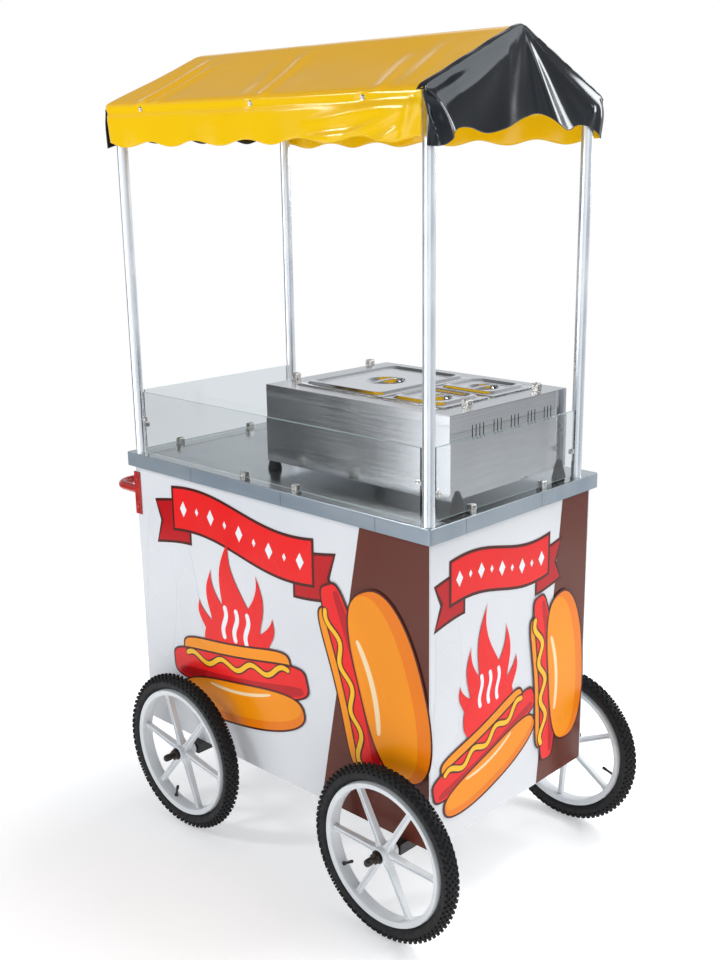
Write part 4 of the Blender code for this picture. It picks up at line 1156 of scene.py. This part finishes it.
class Print:
    """Layers of printed film on a panel. across and up are the picture's own directions."""

    def __init__(self, name, origin, across, outward):
        self.name = name
        self.origin = origin
        self.across = across
        self.outward = outward
        self.colours = []
        self.layer = 0
        self.bm = bmesh.new()

    def patch(self, colour, upper, lower):
        """Add one filled shape, between two lines of points, over everything laid down before."""
        if colour not in self.colours:
            self.colours.append(colour)
        base = LAYER * (self.layer + 1)
        rows = []
        for line, lift in ((upper, base - LAYER), (upper, base), (lower, base), (lower, base - LAYER)):
            rows.append([self.origin + self.across * u + Z * v + self.outward * lift for u, v in line])
        start = len(self.bm.faces)
        skin(self.bm, rows, ring=True)
        self.bm.faces.ensure_lookup_table()
        for face in self.bm.faces[start:]:
            face.material_index = self.colours.index(colour)
        self.layer += 1

    def finish(self):
        piece = object_from(self.name, self.bm, 30)
        piece.data.shade_flat()
        for colour in self.colours:
            piece.data.materials.append(PRINTS[colour])
        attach(piece, "cart")


def roll(length, width, bend, grow=0.0, power=4.0):
    """Outline of a bent roll, widest in the middle, in its own along and across lengths."""
    half_length = length / 2 + grow
    steps = 44
    upper, lower = [], []
    for i in range(steps + 1):
        t = -math.cos(math.pi * i / steps)
        half_width = (width / 2 + grow) * (1 - abs(t) ** power) ** (1 / power)
        p = half_length * t
        q = bend * (2 * p / length) ** 2
        lean = math.atan(8 * bend * p / length ** 2)
        upper.append((p - half_width * math.sin(lean), q + half_width * math.cos(lean)))
        lower.append((p + half_width * math.sin(lean), q - half_width * math.cos(lean)))
    return upper, lower


def wave_band(length, swing, waves, thickness, bend, taper=0.02):
    """Outline of a wavy line of even thickness with rounded ends."""
    steps = 110
    upper, lower = [], []
    for i in range(steps + 1):
        t = i / steps
        p = length * (t - 0.5)
        turn = math.tau * waves * t
        q = swing * math.sin(turn) + bend * (2 * t - 1) ** 2
        slope = (swing * math.tau * waves * math.cos(turn) + 4 * bend * (2 * t - 1)) / length
        end = min(t, 1 - t) / taper
        half = thickness / 2 * math.sqrt(1 - (1 - min(end, 1.0)) ** 2)
        scale = 1 / math.hypot(1, slope)
        upper.append((p - half * slope * scale, q + half * scale))
        lower.append((p + half * slope * scale, q - half * scale))
    return upper, lower


def placed(lines, centre, degrees, shift=0.0):
    """Move a shape's lines sideways, turn them by an angle and put them at centre."""
    turn = math.radians(degrees)
    moved = []
    for line in lines:
        moved.append([(centre[0] + p * math.cos(turn) - (q + shift) * math.sin(turn),
                       centre[1] + p * math.sin(turn) + (q + shift) * math.cos(turn)) for p, q in line])
    return moved


def draw_roll_snack(sheet, centre, length, width, degrees, bend=0.012, cover=0.52):
    """A filled bread roll: back half, filling, front half covering a share of it, and a sauce line."""
    line = 0.0050
    lowest = -width / 2

    def lay(colour, outline, q):
        sheet.patch(colour, *placed(outline, centre, degrees, q))

    def lay_outlined(colour, along, across, q, power=4.0):
        """A roll's shape over a dark copy that is a line wider all round."""
        lay("outline", roll(along, across, bend, line, power), q)
        lay(colour, roll(along, across, bend, 0.0, power), q)

    front_width = cover * width
    front_top = lowest + front_width
    front = lowest + front_width / 2
    shown = width - front_width
    filling_width = 0.68 * shown + 0.10 * width
    filling = front_top + 0.68 * shown - filling_width / 2
    back_width = 0.32 * shown + 0.20 * width
    back = width / 2 - back_width / 2
    lay_outlined("orange", 0.80 * length, back_width, back)
    lay_outlined("red", length, filling_width, filling, 4.4)
    lay("deep_red", roll(0.94 * length, 0.34 * filling_width, bend), filling - 0.26 * filling_width)
    lay_outlined("deep_orange", 0.90 * length, front_width, front, 2.6)
    lay("orange", roll(0.87 * length, 0.78 * front_width, bend, 0.0, 2.5), front + 0.09 * front_width)
    lay("cream", roll(0.46 * length, 0.08 * front_width, bend), front + 0.28 * front_width)
    swing = 0.010
    sauce = front_top + 0.46 * shown
    lay("outline", wave_band(0.80 * length, swing, 3.5, 0.0190, bend), sauce)
    lay("mustard", wave_band(0.79 * length, swing, 3.5, 0.0120, bend), sauce)


# Flame tongues on a unit square: root, tip, height, breadth, sideways swing
FLAME = [
    (-0.26, -0.60, 0.44, 0.40, 0.05),
    (0.26, 0.58, 0.50, 0.40, -0.05),
    (-0.20, -0.38, 0.76, 0.46, 0.07),
    (0.20, 0.34, 0.84, 0.46, -0.07),
    (-0.02, -0.06, 1.10, 0.60, 0.09),
]


def tongue(root, tip, breadth, swing):
    """Two sides of a leaf that bends on its way from a broad root to a sharp tip."""
    steps = 18
    left, right = [], []
    for i in range(steps + 1):
        t = i / steps
        bend = swing * math.sin(math.tau * t)
        half = breadth / 2 * (1 - t) ** 1.5 * (1 + 1.6 * t)
        u = root[0] + (tip[0] - root[0]) * t + bend
        v = root[1] + (tip[1] - root[1]) * t
        left.append((u - half, v))
        right.append((u + half, v))
    return left, right


def draw_flame(sheet, centre, width, height):
    """Pointed tongues over a round base, with three white curls of heat inside."""
    u, v = centre
    for root, tip, rise, breadth, swing in FLAME:
        start = (u + root * width, v + 0.02 * height)
        end = (u + tip * width, v + rise * height)
        sheet.patch("red", *tongue(start, end, breadth * width, swing * width))
    base = roll(1.06 * width, 0.52 * height, 0.0, power=2.3)
    sheet.patch("red", *placed(base, (u, v + 0.08 * height), 0))
    for k in (-1, 0, 1):
        curl = wave_band(0.32 * height, 0.028 * width, 1.0, 0.062 * width, 0.0, 0.08)
        sheet.patch("white", *placed(curl, (u + 0.18 * width * k, v + 0.30 * height), 90))


def draw_ribbon(sheet, left, right, height, dip):
    """A waving ribbon with forked tails, its folds darker, dotted with small lozenges."""
    span = right[0] - left[0]
    line = 0.007

    def centre_line(t):
        return (left[0] + span * t,
                left[1] + (right[1] - left[1]) * t + dip * math.sin(math.tau * t))

    def strip(start, end, grow, drop=0.0, fork=0.0):
        upper, middle_line, lower = [], [], []
        steps = 36
        for i in range(steps + 1):
            t = start + (end - start) * i / steps
            u, v = centre_line(t)
            upper.append((u, v + drop + height / 2 + grow))
            lower.append((u, v + drop - height / 2 - grow))
            shorter = 1 - fork / (span * abs(end - start))
            u, v = centre_line(start + (t - start) * shorter)
            middle_line.append((u, v + drop))
        if not fork:
            return [(upper, lower)]
        return [(upper, middle_line), (middle_line, lower)]

    def spread(start, end):
        """The strip's ends moved out by the outline's thickness."""
        shift = math.copysign(line / span, end - start)
        return start - shift, end + shift

    tails = ((0.20, 0.0), (0.80, 1.0))
    front = (0.11, 0.89)
    for tail in tails:
        for half in strip(*spread(*tail), line, -0.032, 0.020):
            sheet.patch("outline", *half)
        for half in strip(*tail, 0.0, -0.032, 0.022):
            sheet.patch("deep_red", *half)
    sheet.patch("outline", *strip(*spread(*front), line)[0])
    sheet.patch("red", *strip(*front, 0.0)[0])
    count = 9
    for i in range(count):
        u, v = centre_line(0.17 + 0.66 * i / (count - 1))
        r = 0.20 * height if i % 2 == 0 else 0.10 * height
        sheet.patch("white", [(u - r * 0.62, v), (u, v + r), (u + r * 0.62, v)],
                    [(u - r * 0.62, v), (u, v - r), (u + r * 0.62, v)])


def make_print(sheet, low, edge, ghosts, band, ribbon, flame, snacks):
    """Ghosted outlines, a brown band out to the panel's edge, a ribbon, a flame and filled rolls."""
    foot = low.z + 0.0006
    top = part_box("countertop")[0].z + 0.010
    for length, width, bend, centre, degrees in ghosts:
        for colour, grow in (("ghost", 0.0), ("ground", -0.0022)):
            sheet.patch(colour, *placed(roll(length, width, bend, grow), centre, degrees))
    sheet.patch("brown", [(band[0], foot), (band[1], top)], [(edge, foot), (edge, top)])
    draw_ribbon(sheet, *ribbon)
    draw_flame(sheet, *flame)
    for snack in snacks:
        draw_roll_snack(sheet, *snack)
    sheet.finish()


def make_prints():
    """The pictures of the front and right panels, each with its own arrangement."""
    low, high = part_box("front_panel")
    origin = Vector(((low.x + high.x) / 2, low.y, 0))
    make_print(Print("front_print", origin, X, -Y), low, (high.x - low.x) / 2 - 0.0006,
               ghosts=[(0.40, 0.115, 0.014, (-0.402, 0.60), 84), (0.34, 0.085, 0.012, (-0.300, 0.60), 100)],
               band=(0.161, 0.296),
               ribbon=((-0.405, 0.800), (0.215, 0.792), 0.100, 0.020),
               flame=((-0.120, 0.480), 0.225, 0.270),
               snacks=[((-0.115, 0.410), 0.490, 0.200, 9), ((0.345, 0.545), 0.462, 0.262, 107, 0.016, 0.72)])
    low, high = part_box("right_panel")
    make_print(Print("right_print", Vector((high.x, 0, 0)), Y, X), low, high.y - 0.0008,
               ghosts=[(0.34, 0.085, 0.012, (-0.222, 0.56), 88)],
               band=(0.101, 0.176),
               ribbon=((-0.262, 0.785), (0.170, 0.785), 0.088, 0.016),
               flame=((-0.085, 0.450), 0.165, 0.245),
               snacks=[((-0.085, 0.362), 0.365, 0.160, 18), ((0.176, 0.480), 0.415, 0.188, 96, 0.014, 0.72)])


# ---------------------------------------------------------------- carried-over CAD nodes

def dress_cad_nodes():
    """Every CAD node gets the procedural material of its record slot; those listed in edges also get soft
    edges.
    """
    slot_of = {row["node"]: row["material_slot"] for row in frame["record"]["subparts"]}
    deck_like = ("warmer_deck", "storage_shelf", "cabinet_floor", "pan_large", "pan_small_front",
                 "pan_small_rear")
    edges = {"countertop": 0.0006, "warmer_casing": 0.0004, "warmer_rear_housing": 0.0005,
             "warmer_deck": 0.0004, "canopy_frame": 0.0010, "left_door": 0.0005, "right_door": 0.0005,
             "back_panel": 0.0005}
    for name, node in frame["nodes"].items():
        look = DECK_STEEL if name in deck_like else LOOKS[slot_of[name]]
        for material_slot in node.material_slots:
            material_slot.link = "OBJECT"
            material_slot.material = look
        if name in edges:
            bevel(node, edges[name])


make_camera()
make_light()
make_floor()
dress_cad_nodes()
make_wheels()
make_roof()
make_gable("right", 1, 0.014, 0.0, RIGHT_HEM, RIGHT_FAN, RIGHT_GATHERS)
make_gable("left", -1, 0.002, 0.006, LEFT_HEM, LEFT_FAN, LEFT_GATHERS)
make_buttons()
make_glass_clips()
make_post_clips()
make_deck_clamps()
for lid_name in ("lid_large", "lid_small_front", "lid_small_rear"):
    make_lid(lid_name)
make_handle()
make_warmer_trim()
make_apron_seams()
make_prints()
